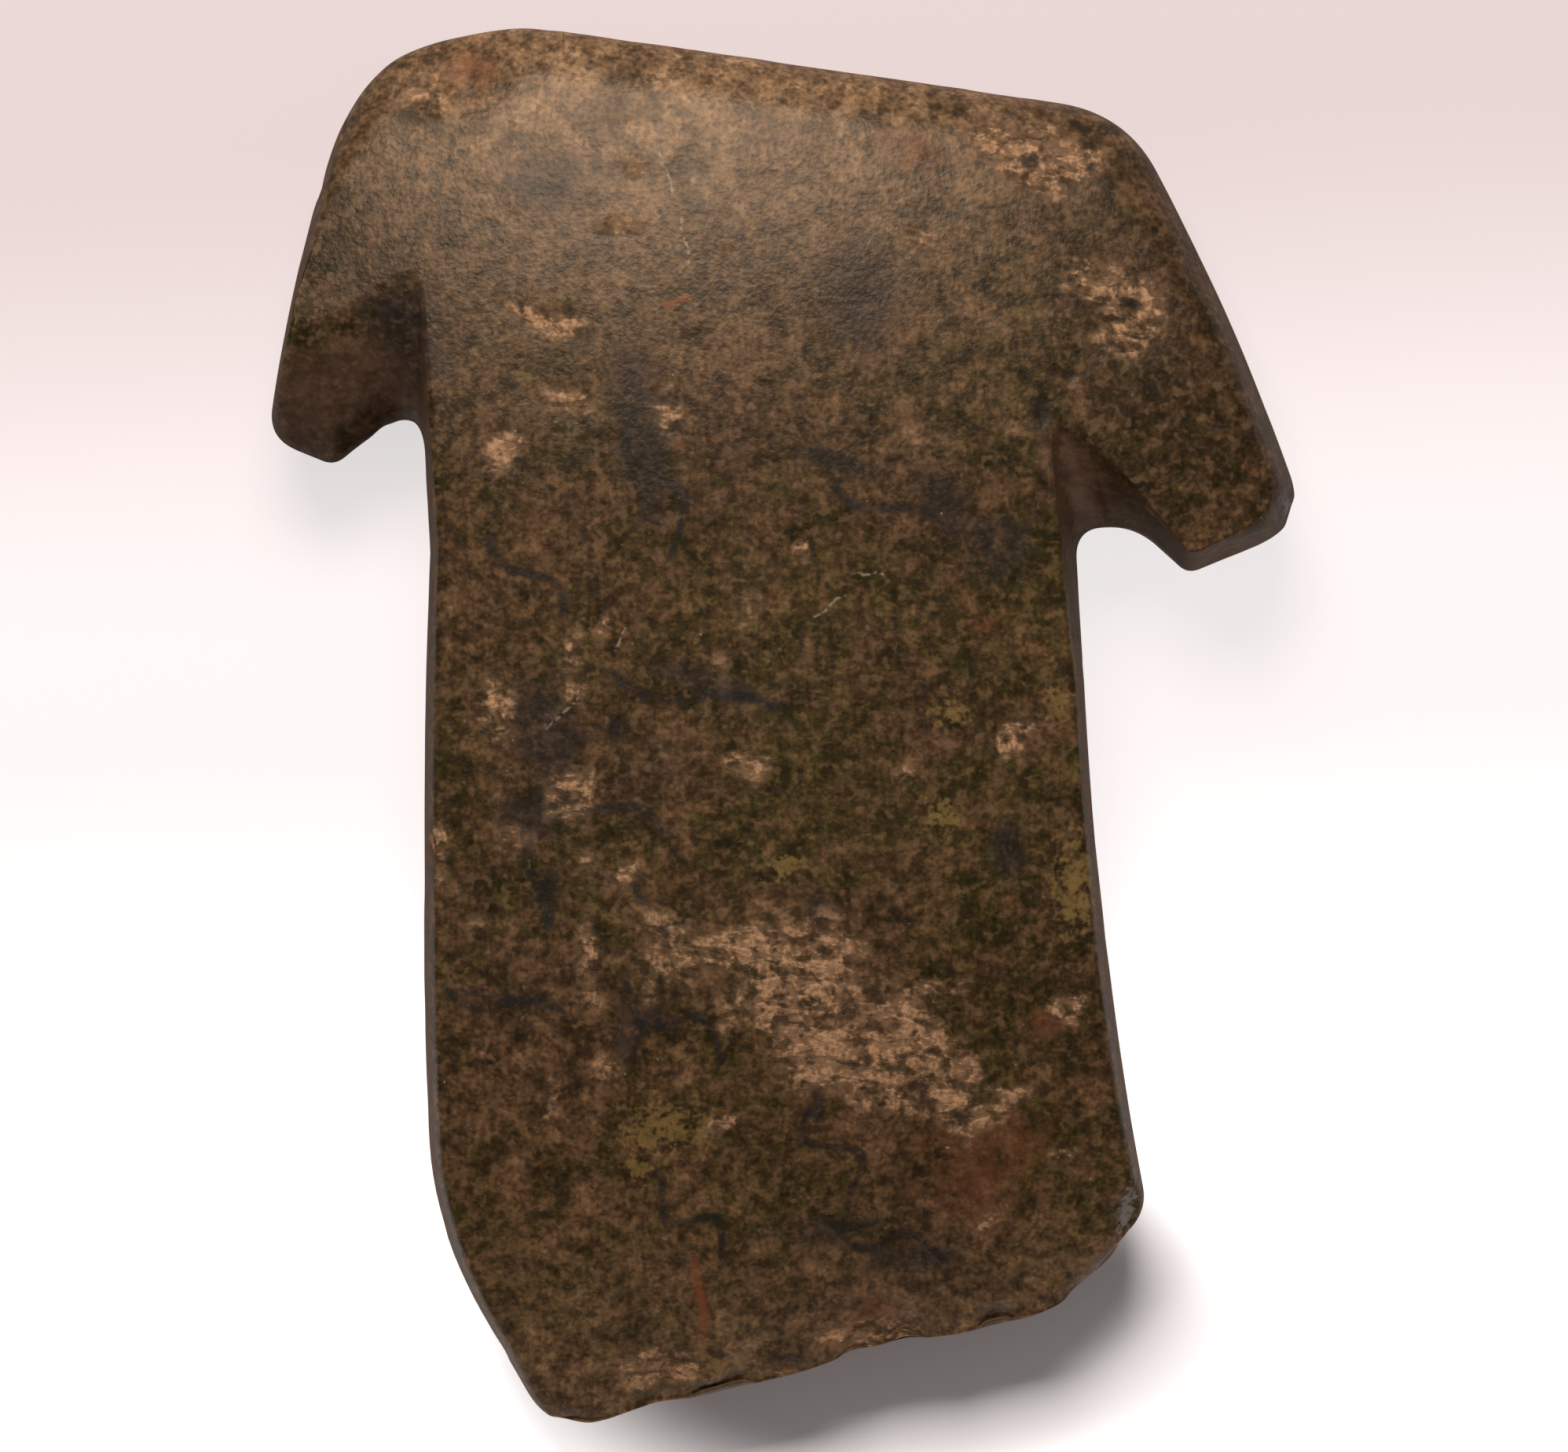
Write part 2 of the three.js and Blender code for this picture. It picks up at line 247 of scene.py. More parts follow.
class StageSizes(bpy.types.PropertyGroup):
    """Table, lights and camera."""

    table_half: length(900.0, "Half the side of the table top")
    frame_width: length(142.57, "Width of the picture at the level of the edge")
    frame_x: length(-1.30, "Centre of the picture from the part's centre")
    frame_y: length(-1.15, "Centre of the picture from the part's centre")
    roll: FloatProperty(
        description="Turn of the camera about its line of sight", default=math.radians(-3.2), subtype="ANGLE"
    )
    lens: FloatProperty(description="Focal length in millimetres on a 36 mm sensor", default=220.0)
    # The table's glow is painted light that lifts the shade around the stone
    table_near: colour((0.79, 0.759, 0.772), "Colour of the table top below the blade")
    table_middle: colour((0.150, 0.115, 0.112), "Colour of the table top beside the neck")
    table_glow: colour((0.82, 0.785, 0.785), "Light that comes up through the table top")
    table_far: colour((0.193, 0.129, 0.123), "Colour of the table top above the butt")


GROUPS = {
    "axe_blade": BladeSizes,
    "axe_lugs": LugSizes,
    "axe_head_sizes": HeadSizes,
    "axe_margins": MarginSizes,
    "axe_relief": ReliefSizes,
    "axe_colours": StoneColours,
    "axe_stage": StageSizes,
}

# Patches of the shown face, in millimetres of the drawing: middle, half sizes and turn in degrees
PECKED = (
    (5.2, 36.7, 15.0, 7.6, -22), (-1.6, 42.8, 5.4, 2.6, -13), (13.4, 29.8, 7.4, 4.0, -23),
    (0.9, 36.9, 5.3, 1.8, 0), (-23.9, 66.9, 2.0, 4.0, 7), (-17.9, 101.0, 5.0, 1.7, -22),
    (-21.2, 89.3, 2.6, 1.5, 12), (-15.0, 93.2, 3.0, 1.1, -10), (-6.4, 91.2, 2.0, 2.6, 20),
    (35.8, 97.9, 3.2, 4.2, -43), (33.1, 100.9, 3.7, 2.3, -43),
    (28.8, 113.3, 7.0, 3.6, -23), (-1.4, 59.6, 2.4, 0.9, -15), (26.7, 36.2, 2.4, 1.4, 0),
    (7.9, 7.2, 6.2, 1.5, 0), (-29.5, 53.6, 1.0, 2.6, 0), (-5.3, 27.6, 2.9, 0.9, 12),
    (12.9, 58.4, 1.3, 0.7, 0), (-20.7, 30.6, 0.9, 2.1, 0), (-25.8, 122.1, 4.2, 2.6, 27),
    (-6.6, 93.1, 1.4, 1.0, 0), (23.0, 60.7, 2.2, 1.3, 27), (-13.5, 72.8, 1.0, 1.3, 0),
    (19.8, 28.7, 3.0, 1.0, 0), (4.7, 78.9, 1.0, 0.7, 0), (-12.6, 50.5, 1.6, 0.8, 20),
    (-12.3, 5.4, 4.3, 1.8, 2),
)
CRUSTED = (
    (27.6, 47.2, 2.6, 4.6, 0), (17.1, 63.2, 2.1, 1.6, 0), (15.9, 54.3, 2.0, 1.7, 0),
    (1.7, 50.4, 1.7, 1.4, 0), (-13.0, 23.7, 1.2, 1.6, 0), (26.7, 63.4, 1.2, 2.0, 0),
    (-7.3, 5.2, 1.6, 1.2, 0), (-10.3, 27.5, 4.0, 2.6, 0),
)
RUSTED = (
    (17.3, 21.7, 6.4, 5.0, 0), (-8.1, 11.7, 0.8, 3.7, 1), (20.7, 70.8, 1.7, 1.2, 0),
    (-22.8, 123.7, 3.2, 2.5, 27), (17.4, 114.0, 4.3, 2.1, -13), (7.3, 9.4, 1.8, 2.1, 0),
    (30.4, 13.1, 2.9, 1.2, 37), (24.4, 34.9, 2.1, 1.4, 0), (-5.5, 88.8, 1.2, 0.7, 0),
    (21.0, 25.0, 4.3, 2.9, 0),
)
CLOUDED = (
    (26.9, 89.8, 1.4, 2.2, 0), (-12.9, 63.8, 1.2, 1.5, 0), (-19.8, 49.5, 1.5, 2.7, 0),
    (-9.0, 89.7, 3.0, 9.7, 7), (11.0, 101.4, 4.4, 5.6, 0), (-19.0, 63.8, 3.4, 6.4, 7),
    (-4.5, 67.2, 6.9, 1.5, -23), (-20.1, 56.7, 4.0, 2.3, 0), (-24.7, 39.8, 4.3, 0.9, -18),
    (8.0, 86.6, 5.4, 1.2, -23), (17.8, 82.5, 2.3, 3.9, 27), (-29.9, 100.1, 4.0, 6.0, 17),
    (11.1, 14.2, 5.2, 1.7, 0), (3.4, 28.9, 0.8, 2.9, 0), (-10.5, 37.5, 4.3, 1.0, -28),
    (-13.4, 35.6, 1.5, 3.4, 0), (4.3, 46.0, 1.6, 2.1, 0), (-16.3, 113.0, 4.0, 3.3, 0),
    (22.5, 77.9, 3.9, 3.9, 0), (4.1, 17.4, 6.0, 1.6, 0), (21.7, 50.8, 2.0, 3.0, 0),
)
# Painted shade: the hollow above the right notch and the bevel under the left lug
SHADED = (
    (30.6, 82.8, 3.4, 7.0, 38), (-36.4, 95.4, 9.5, 5.6, 18),
)
# Chips with fresh grey stone and a painted glint
GLINTED = (
    (30.9, 17.6, 0.8, 2.9, -16), (49.4, 80.3, 1.3, 0.7, 20), (-5.9, 93.2, 0.7, 0.5, 0),
)
SCARRED = (
    (48.9, 79.9, 1.6, 1.4, 0), (30.9, 16.6, 1.2, 3.2, -14), (-33.6, 92.6, 1.7, 1.2, 0),
    (1.0, 1.6, 3.8, 1.6, 12), (27.6, 10.0, 2.4, 1.5, 40), (-40.0, 112.0, 1.0, 1.6, 0),
    (41.6, 102.0, 1.0, 1.9, 0),
)
PITS = (
    (26.9, 89.9, 0.9, 2.0, 0), (-12.9, 63.8, 1.1, 1.3, 0), (-19.8, 49.5, 1.0, 1.6, 0),
    (29.6, 93.0, 1.0, 0.9, 0), (27.2, 112.6, 1.5, 0.8, -20), (32.4, 115.4, 1.2, 0.7, -30),
    (-6.6, 93.1, 1.3, 0.8, 0), (35.4, 99.2, 1.6, 1.0, -40),
)
# Chips in the rim: middle, radius and bite in millimetres, and the share of the height that they take away
CHIPS = (
    (8.0, 5.0, 8.5, 0.6, 0.10), (-13.0, 1.2, 4.5, 0.35, 0.30), (31.5, 15.5, 4.6, 0.4, 0.18),
    (-23.5, 125.5, 7.0, 0.6, 0.13),
)


def mix(first, second, amount):
    """The value that is that amount of the way from first to second."""
    return first + (second - first) * amount


def smooth(low, high, value):
    """0 up to low, 1 from high on, and an S-shaped rise between them."""
    amount = np.clip((value - low) / (high - low), 0.0, 1.0)
    return amount * amount * (3.0 - 2.0 * amount)


class Lattice:
    """Smooth noise from 0 to 1: seeded values at the corners of cubes, eased together inside each cube."""

    def __init__(self, seed, cells=32):
        self.values = np.random.default_rng(seed).random((cells, cells, cells))
        self.cells = cells

    def at(self, points, size):
        """Noise at points in metres, for cubes of that size in millimetres."""
        places = points / (size * MILLIMETRE)
        base = np.floor(places).astype(int)
        ease = places - base
        ease = ease * ease * (3.0 - 2.0 * ease)
        total = np.zeros(len(points))
        for corner in np.ndindex(2, 2, 2):
            index = (base + corner) % self.cells
            weight = np.prod(np.where(corner, ease, 1.0 - ease), axis=1)
            total += weight * self.values[tuple(index.T)]
        return total


@dataclass
class Corner:
    """A corner of the outline: where its sides would meet at half thickness and on the broad face."""

    name: str
    at: tuple
    rounding: float
    inward: tuple
    band: float
    side_steps: int
    turn_steps: int
    face_rounding: float = None
    bow: float = 0.0
    swell: float = 1.0

    def __post_init__(self):
        self.face = (self.at[0] + self.inward[0], self.at[1] + self.inward[1])
        if self.face_rounding is None:
            self.face_rounding = self.rounding


def outline_corners(blade, lugs, head, m):
    """Every corner of the outline, counter-clockwise from the toe of the cutting edge."""
    right, left = blade.neck_right, -blade.neck_left
    right_root, left_root = lugs.right_notch_rise, lugs.left_notch_rise
    right_lug = (right + lugs.right_lug_length, right_root - lugs.right_lug_heel_drop)
    left_lug = (left - lugs.left_lug_length, left_root - lugs.left_lug_heel_drop)
    butt_right = np.array((right_lug[0] - head.right_flank_lean, right_root + head.right_rise))
    butt_left = np.array((left_lug[0] + head.left_flank_lean, left_root + head.left_rise))
    return [
        Corner("toe", (blade.toe_across, blade.toe_rise), blade.toe_round, (-m.bit / 2, m.bit),
               head.edge_half, 12, 4),
        Corner("right blade", (right + blade.flare_right, blade.right_corner_rise), blade.right_corner_round,
               (-m.corner, m.bit / 2), m.corner_band, 3, 2),
        Corner("right neck", (right, right_root - blade.neck_flat), 0.0, (-m.neck, 0.0), m.neck_band, 7, 0,
               bow=-blade.right_side_hollow),
        Corner("right root", (right, right_root), lugs.right_notch_round,
               (-m.neck - m.right_hollow_lean, m.right_hollow), m.lug_band, 4, 6, m.right_hollow_top_round,
               swell=m.right_hollow_swell),
        Corner("right root end", (right + lugs.right_notch_width, right_root), lugs.right_notch_round,
               (-m.neck, m.right_hollow_knee), m.lug_band, 1, 2, swell=m.right_hollow_swell),
        Corner("right tip", (right + lugs.right_mouth_width, right_root - lugs.right_lug_drop),
               lugs.tip_round, (0.0, m.lug), m.lug_band, 2, 2, swell=m.right_tip_swell),
        Corner("right lug", right_lug, lugs.right_lug_round, (-m.lug_side, m.lug), m.lug_band, 1, 4,
               swell=m.right_lug_swell),
        Corner("butt right", butt_right, head.butt_round_right, (-m.flank, -m.butt), m.flank_band, 7, 4,
               bow=head.right_flank_swell),
        Corner("butt right seam", mix(butt_right, butt_left, m.right_seam), 0.0, (0.0, -m.butt), m.butt_band,
               11, 0),
        Corner("butt left seam", mix(butt_right, butt_left, m.left_seam), 0.0, (0.0, -m.butt), m.butt_band,
               16, 0),
        Corner("butt left", butt_left, head.butt_round_left, (m.flank, -m.butt), m.flank_band, 8, 8),
        Corner("left lug", left_lug, lugs.left_lug_round, (m.lug_side, m.left_heel_bevel), m.lug_band, 5, 4,
               m.left_heel_bevel_round, bow=head.left_flank_swell, swell=m.left_lug_swell),
        Corner("left tip", (left - lugs.left_mouth_width, left_root - lugs.left_lug_drop), lugs.tip_round,
               (m.neck, m.left_lug_bevel), m.lug_band, 2, 2, m.left_tip_bevel_round, swell=m.left_tip_swell),
        Corner("left root", (left, left_root), lugs.left_notch_round, (m.neck / 2, m.left_hollow), m.lug_band,
               3, 6, m.left_hollow_top_round, swell=m.left_hollow_swell),
        Corner("left neck", (left, left_root - blade.neck_flat), 0.0, (m.neck, 0.0), m.neck_band, 4, 0),
        Corner("left blade", (left - blade.flare_left, blade.left_corner_rise), blade.left_corner_round,
               (m.corner, 0.0), m.corner_band, 7, 2, bow=blade.left_side_swell),
        Corner("heel", (-blade.heel_across, 0.0), blade.heel_round, (m.bit / 2, m.bit), head.edge_half, 3, 4),
    ]


def arc_point(arc, at):
    """Points on a parabola of three control points: each counts by the square of its share."""
    at = np.atleast_1d(at)[:, None]
    return (1 - at) ** 2 * arc[0] + 2 * at * (1 - at) * arc[1] + at ** 2 * arc[2]


def arc_direction(arc, at):
    """Direction of the parabola there."""
    return 2 * (1 - at) * (arc[1] - arc[0]) + 2 * at * (arc[2] - arc[1])


def bowed_side(start, end, bow):
    """The three control points of a side that stands out from its straight line by its bow."""
    along = (end - start) / np.linalg.norm(end - start)
    outward = np.array((along[1], -along[0]))
    return np.array((start, (start + end) / 2 + outward * 2 * bow, end))


def meeting_point(p, d, q, e):
    """Where the line from p along d meets the line through q along e."""
    gap = q - p
    return p + d * (gap[0] * e[1] - gap[1] * e[0]) / (d[0] * e[1] - d[1] * e[0])


def trace_ring(corners, place, rounding, fineness):
    """Points once round the corners: each side, then the parabola that rounds its corner off."""
    places = [np.array(getattr(corner, place)) for corner in corners]
    takes = [getattr(corner, rounding) for corner in corners]
    sides = [bowed_side(places[i - 1], places[i], corners[i].bow) for i in range(len(corners))]
    starts, ends = [], []
    for i, side in enumerate(sides):
        drawn = arc_point(side, np.linspace(0, 1, SPAN_STEPS + 1))
        span = np.linalg.norm(np.diff(drawn, axis=0), axis=1).sum()
        room = max(takes[i - 1] + takes[i], span * ROUNDED_SHARE) / ROUNDED_SHARE
        starts.append(takes[i - 1] / room)
        ends.append(1 - takes[i] / room)
    points = []
    for i, corner in enumerate(corners):
        following = (i + 1) % len(corners)
        steps = corner.side_steps * fineness
        points.append(arc_point(sides[i], mix(starts[i], ends[i], np.arange(steps) / steps)))
        if corner.turn_steps:
            first = arc_point(sides[i], ends[i])[0]
            last = arc_point(sides[following], starts[following])[0]
            knee = meeting_point(
                first, arc_direction(sides[i], ends[i]),
                last, arc_direction(sides[following], starts[following]),
            )
            steps = corner.turn_steps * fineness
            points.append(arc_point(np.array((first, knee, last)), np.arange(steps) / steps))
    return np.concatenate(points)


def trace_value(corners, name, fineness):
    """A corner's value carried round the ring: steady in the rounding, changing evenly along the sides."""
    values = []
    for i, corner in enumerate(corners):
        steps = corner.side_steps * fineness
        before, after = getattr(corners[i - 1], name), getattr(corner, name)
        values.append(mix(before, after, np.arange(steps) / steps))
        values.append(np.full(corner.turn_steps * fineness, after))
    return np.concatenate(values)


def mark_corners(corners, fineness):
    """Index on the ring of the middle of each corner."""
    marks, index = {}, 0
    for corner in corners:
        index += corner.side_steps * fineness
        marks[corner.name] = index + corner.turn_steps * fineness // 2
        index += corner.turn_steps * fineness
    return marks


def chip_share(chip, places):
    """How strongly a chip acts: 1 less the square of the share of its radius, squared again."""
    away = np.hypot(places[..., 0] - chip[0] * MILLIMETRE, places[..., 1] - chip[1] * MILLIMETRE)
    rest = 1 - (away / (chip[2] * MILLIMETRE)) ** 2
    return np.clip(rest, 0, None) ** 2


def bite_ring(ring, middle):
    """Draws a ring in towards the middle of the blade where a chip has bitten the edge."""
    inward = middle - ring
    inward /= np.linalg.norm(inward, axis=1)[:, None]
    depth = sum(chip[3] * MILLIMETRE * chip_share(chip, ring) for chip in CHIPS)
    return ring + inward * depth[:, None]


def lens_height(places, rise, scene):
    """Half thickness: crowned by the square of x, thinning to the butt and curving down to the edge."""
    blade, lugs, head = scene.axe_blade, scene.axe_lugs, scene.axe_head_sizes
    x, y = places[..., 0], places[..., 1]
    edge_line = blade.toe_rise * (x + blade.heel_across) / (blade.toe_across + blade.heel_across)
    reach = np.clip((y - edge_line) / head.bevel, 0, 1)
    bevel = 1 - (1 - reach) ** head.bevel_power
    crown = head.crown_drop * (x / head.crown_half_width) ** 2
    head_share = np.clip(y - lugs.right_notch_rise, 0, None) / (head.right_rise + head.left_rise) * 2
    full = rise - crown - head.butt_drop * head_share ** 2
    return head.edge_half + (full - head.edge_half) * bevel


def front_height(places, scene):
    """Height of the shown face over the level of the edge, dished by the chips."""
    dish = sum(chip[4] * chip_share(chip, places) for chip in CHIPS)
    return lens_height(places, scene.axe_head_sizes.front_rise, scene) * (1 - dish)


def back_height(places, scene):
    """Depth of the hidden face, cut off flat where the stone rests on it."""
    head = scene.axe_head_sizes
    return np.minimum(lens_height(places, head.back_depth + head.back_swell, scene), head.back_depth)


def margin_rows(rings, swells, bands, height_of, sign, scene):
    """Rows from the side up the margin: a quarter round where the swell is 1, a hollow where it is 0."""
    steps, power = scene.axe_relief.margin_steps, scene.axe_margins.hollow_power
    at = (np.arange(steps + 1) / steps)[:, None]
    travel = mix(at, 1 - np.cos(at * math.pi / 2), swells)
    climb = mix(at ** power, np.sin(at * math.pi / 2), swells)
    flat = mix(*rings, travel[..., None])
    top = height_of(flat, scene)
    band = np.minimum(bands, top)
    level = scene.axe_head_sizes.back_depth
    return np.dstack((flat, level + sign * (band + (top - band) * climb)))


def fill_between(bottom, top, left, right):
    """Surface over four lines: the two ruled surfaces added, less the one through the four corners."""
    u = np.linspace(0, 1, len(bottom))[None, :, None]
    v = np.linspace(0, 1, len(left))[:, None, None]
    ruled_up = mix(bottom[None], top[None], v)
    ruled_across = mix(left[:, None], right[:, None], u)
    return ruled_up + ruled_across - mix(mix(bottom[0], bottom[-1], u), mix(top[0], top[-1], u), v)


def stretch(ring, start, end):
    """Part of a ring between two marks, ends included."""
    return ring[np.arange(start, end + 1 if end >= start else end + len(ring) + 1) % len(ring)]


def straight_line(start, end, steps):
    """Straight line in even steps, ends included."""
    return mix(start, end, np.linspace(0, 1, steps + 1)[:, None])


def face_patches(ring, marks):
    """Broad face in three patches: the body, the right lug and the left lug."""

    def part(start, end):
        return stretch(ring, marks[start], marks[end])

    def seam(root, top, steps):
        return straight_line(ring[marks[root]], ring[marks[top]], steps)

    right_seam = seam("right root", "butt right seam", marks["butt right"] - marks["right lug"])
    left_seam = seam("left root", "butt left seam", marks["left lug"] - marks["butt left"])
    body = fill_between(
        part("heel", "toe"),
        part("butt right seam", "butt left seam")[::-1],
        np.concatenate((part("left root", "heel")[::-1], left_seam[1:])),
        np.concatenate((part("toe", "right root"), right_seam[1:])),
    )
    right_lug = fill_between(
        part("right root", "right lug"),
        part("butt right", "butt right seam")[::-1],
        right_seam,
        part("right lug", "butt right"),
    )
    left_lug = fill_between(
        part("left lug", "left root"),
        part("butt left seam", "butt left")[::-1],
        part("butt left", "left lug")[::-1],
        left_seam,
    )
    return [body, right_lug, left_lug]


def grid_quads(first, rows, columns, closed, turned):
    """Corner numbers of the cells of a grid whose points start at number first."""
    numbers = first + np.arange(rows * columns).reshape(rows, columns)
    if closed:
        numbers = np.column_stack((numbers, numbers[:, 0]))
    quads = np.stack((numbers[:-1, :-1], numbers[:-1, 1:], numbers[1:, 1:], numbers[1:, :-1]), axis=-1)
    quads = quads.reshape(-1, 4)
    return quads[:, ::-1] if turned else quads


def weld(points, quads):
    """Joins points that lie at the same place, so that the grids share their seams."""
    keys = np.round(points / WELD_DISTANCE).astype(np.int64)
    _, kept, merged = np.unique(keys, axis=0, return_index=True, return_inverse=True)
    return points[kept], merged.reshape(-1)[quads]


def vertex_normals(points, quads):
    """Outward direction at each point: the sum of the faces around it, each by its area."""
    corners = points[quads]
    faces = np.cross(corners[:, 2] - corners[:, 0], corners[:, 3] - corners[:, 1])
    normals = np.zeros_like(points)
    for k in range(4):
        np.add.at(normals, quads[:, k], faces)
    return normals / np.linalg.norm(normals, axis=1)[:, None]


def plain_stone(scene):
    """Points and quads of the unworn stone in the drawing's frame, in metres."""
    lugs, head, fineness = scene.axe_lugs, scene.axe_head_sizes, scene.axe_relief.fineness
    corners = outline_corners(scene.axe_blade, lugs, head, scene.axe_margins)
    middle = np.array((0.0, lugs.right_notch_rise))
    rings = [
        bite_ring(trace_ring(corners, place, rounding, fineness), middle)
        for place, rounding in (("at", "rounding"), ("face", "face_rounding"))
    ]
    swells = trace_value(corners, "swell", fineness)
    bands = trace_value(corners, "band", fineness)
    front = margin_rows(rings, swells, bands, front_height, 1, scene)
    back = margin_rows(rings, swells, bands, back_height, -1, scene)
    band = mix(back[0], front[0], np.linspace(0, 1, scene.axe_relief.band_steps + 1)[:, None, None])
    grids = [(band, True, False), (front, True, False), (back, True, True)]
    for patch in face_patches(rings[1], mark_corners(corners, fineness)):
        grids.append((np.dstack((patch, head.back_depth + front_height(patch, scene))), False, False))
        grids.append((np.dstack((patch, head.back_depth - back_height(patch, scene))), False, True))
    points, quads, first = [], [], 0
    for grid, closed, turned in grids:
        rows, columns = grid.shape[:2]
        quads.append(grid_quads(first, rows, columns, closed, turned))
        points.append(grid.reshape(-1, 3))
        first += rows * columns
    return weld(np.concatenate(points), np.concatenate(quads))


def closeness(points, spots):
    """How near each point is to the nearest spot: 1 at its middle, 0 at its rim, down to -1 away from it."""
    best = np.full(len(points), -1.0)
    for x, y, half_width, half_length, turn in spots:
        across = points[:, 0] / MILLIMETRE - x
        up = points[:, 1] / MILLIMETRE - y
        cosine, sine = math.cos(math.radians(turn)), math.sin(math.radians(turn))
        along = (across * cosine + up * sine) / half_width
        beside = (up * cosine - across * sine) / half_length
        best = np.maximum(best, 1 - np.hypot(along, beside))
    return best


# The back's spots: how far they are moved along in metres, and how much weaker they are
BACK_SHIFT = 0.009
BACK_LOSS = 0.25
# Metres below and above the level of the edge between which the back's spots give way to the front's
FACE_CHANGE = (-0.003, 0.002)
# Seeds of the ripples, the grains, the lumps and the nicks
WEAR_SEEDS = (11, 23, 37, 41)
# Sizes of the noise cubes in millimetres: slow ripple, grain, and the ragged rims and lumps of the patches
RIPPLE_SIZE = 13.0
GRAIN_SIZE = 2.8
RIM_SIZES = (6.0, 2.4)
RIM_SHARES = (0.6, 0.8)
LUMP_SIZE = 1.7
SCAR_SIZE = 1.4
NICK_SIZE = 2.6
# How much of its depth a pecked patch has all over, how much of their height its lumps have, how much of
# its depth a scar has all over, how much longer nicks are upwards, and how dark their painted shade is
PECK_FLOOR = 0.5
LUMP_SHARE = 0.7
SCAR_FLOOR = 0.5
NICK_STRETCH = (1.0, 1.0, 0.4)
NICK_SHADE = 0.4
# Scattered pecked patches: cube sizes, shifts in metres, ranges of the noise, and their strength
SCATTER_SIZES = (2.6, 9.0)
SCATTER_SHIFTS = (0.05, 0.02)
SCATTER_RANGES = ((0.66, 0.86), (0.45, 0.75))
SCATTER_STRENGTH = 0.62
# Ranges of closeness over which patches, pits and scars come in, and of noise over which nicks do
PECK_RANGE = (-0.15, 0.65)
PIT_RANGE = (-0.1, 0.7)
SCAR_RANGE = (-0.2, 0.6)
NICK_RANGE = (0.45, 0.85)
# Where nicks are: metres off the level of the edge, and metres up from the heel
NICK_HEIGHTS = (0.0035, 0.0)
NICK_REACH = (0.024, 0.012)
# Steepness over which a side counts as upright, and how strongly it takes the painted shade of the hollows
STEEP_RANGE = (0.40, 0.92)
STEEP_SHADE = 0.60


def both_faces(points, spots, level):
    """Closeness to spots on the shown face and, mirrored and moved along, to the same ones on the back."""
    front = closeness(points, spots)
    mirrored = points * (-1.0, 1.0, 1.0) + (0.0, BACK_SHIFT, 0.0)
    back = closeness(mirrored, spots) - BACK_LOSS
    below, above = FACE_CHANGE
    return mix(back, front, smooth(level + below, level + above, points[:, 2]))


def worn_stone(points, normals, level, relief):
    """Moves the points along their normals and returns them with the masks that colour them.

    The move is the slow ripple and the grain, less the depth of each pecked patch with its lumps, each pit
    and the nicks of the cutting edge. Nothing is lifted above the plain stone.
    """
    ripples, grains, lumps, edges = (Lattice(seed) for seed in WEAR_SEEDS)
    pecked = both_faces(points, PECKED, level)
    for noise, size, share_of in zip((ripples, lumps), RIM_SIZES, RIM_SHARES):
        pecked = pecked + (noise.at(points, size) - 0.5) * share_of
    pecked = smooth(*PECK_RANGE, pecked)
    scattered = np.ones(len(points))
    for noise, size, shift, limits in zip((lumps, ripples), SCATTER_SIZES, SCATTER_SHIFTS, SCATTER_RANGES):
        scattered = scattered * smooth(*limits, noise.at(points + shift, size))
    pecked = np.maximum(pecked, scattered * SCATTER_STRENGTH)
    pits = smooth(*PIT_RANGE, both_faces(points, PITS, level))
    near_edge = smooth(*NICK_HEIGHTS, np.abs(points[:, 2] - level)) * smooth(*NICK_REACH, points[:, 1])
    nicks = near_edge * smooth(*NICK_RANGE, edges.at(points * NICK_STRETCH, NICK_SIZE))
    depth = relief.ripple * ripples.at(points, RIPPLE_SIZE) + relief.grain * grains.at(points, GRAIN_SIZE)
    lump_height = relief.peck_lumps * lumps.at(points, LUMP_SIZE) * LUMP_SHARE
    depth += pecked * (relief.peck_depth * PECK_FLOOR + lump_height)
    scars = smooth(*SCAR_RANGE, closeness(points, SCARRED)) * (SCAR_FLOOR + lumps.at(points, SCAR_SIZE))
    depth += relief.pit_depth * pits + relief.nick_depth * nicks + relief.scar_depth * scars
    steep = smooth(*STEEP_RANGE, 1 - np.abs(normals[:, 2]))
    # Real stains, and the spots of painted shade and of the lighter chips with their painted glint
    stains_and_painted_light = {"crusted": CRUSTED, "rusted": RUSTED, "clouded": CLOUDED, "shaded": SHADED, "glinted": GLINTED}
    masks = {name: both_faces(points, spots, level) * 0.5 + 0.5 for name, spots in stains_and_painted_light.items()}
    # Upright sides take painted shade as well
    masks["shaded"] = np.maximum(masks["shaded"], steep * STEEP_SHADE)
    masks.update(pecked=pecked, pitted=np.maximum(pits, nicks * NICK_SHADE), steep=steep)
    return points - normals * depth[:, None], masks


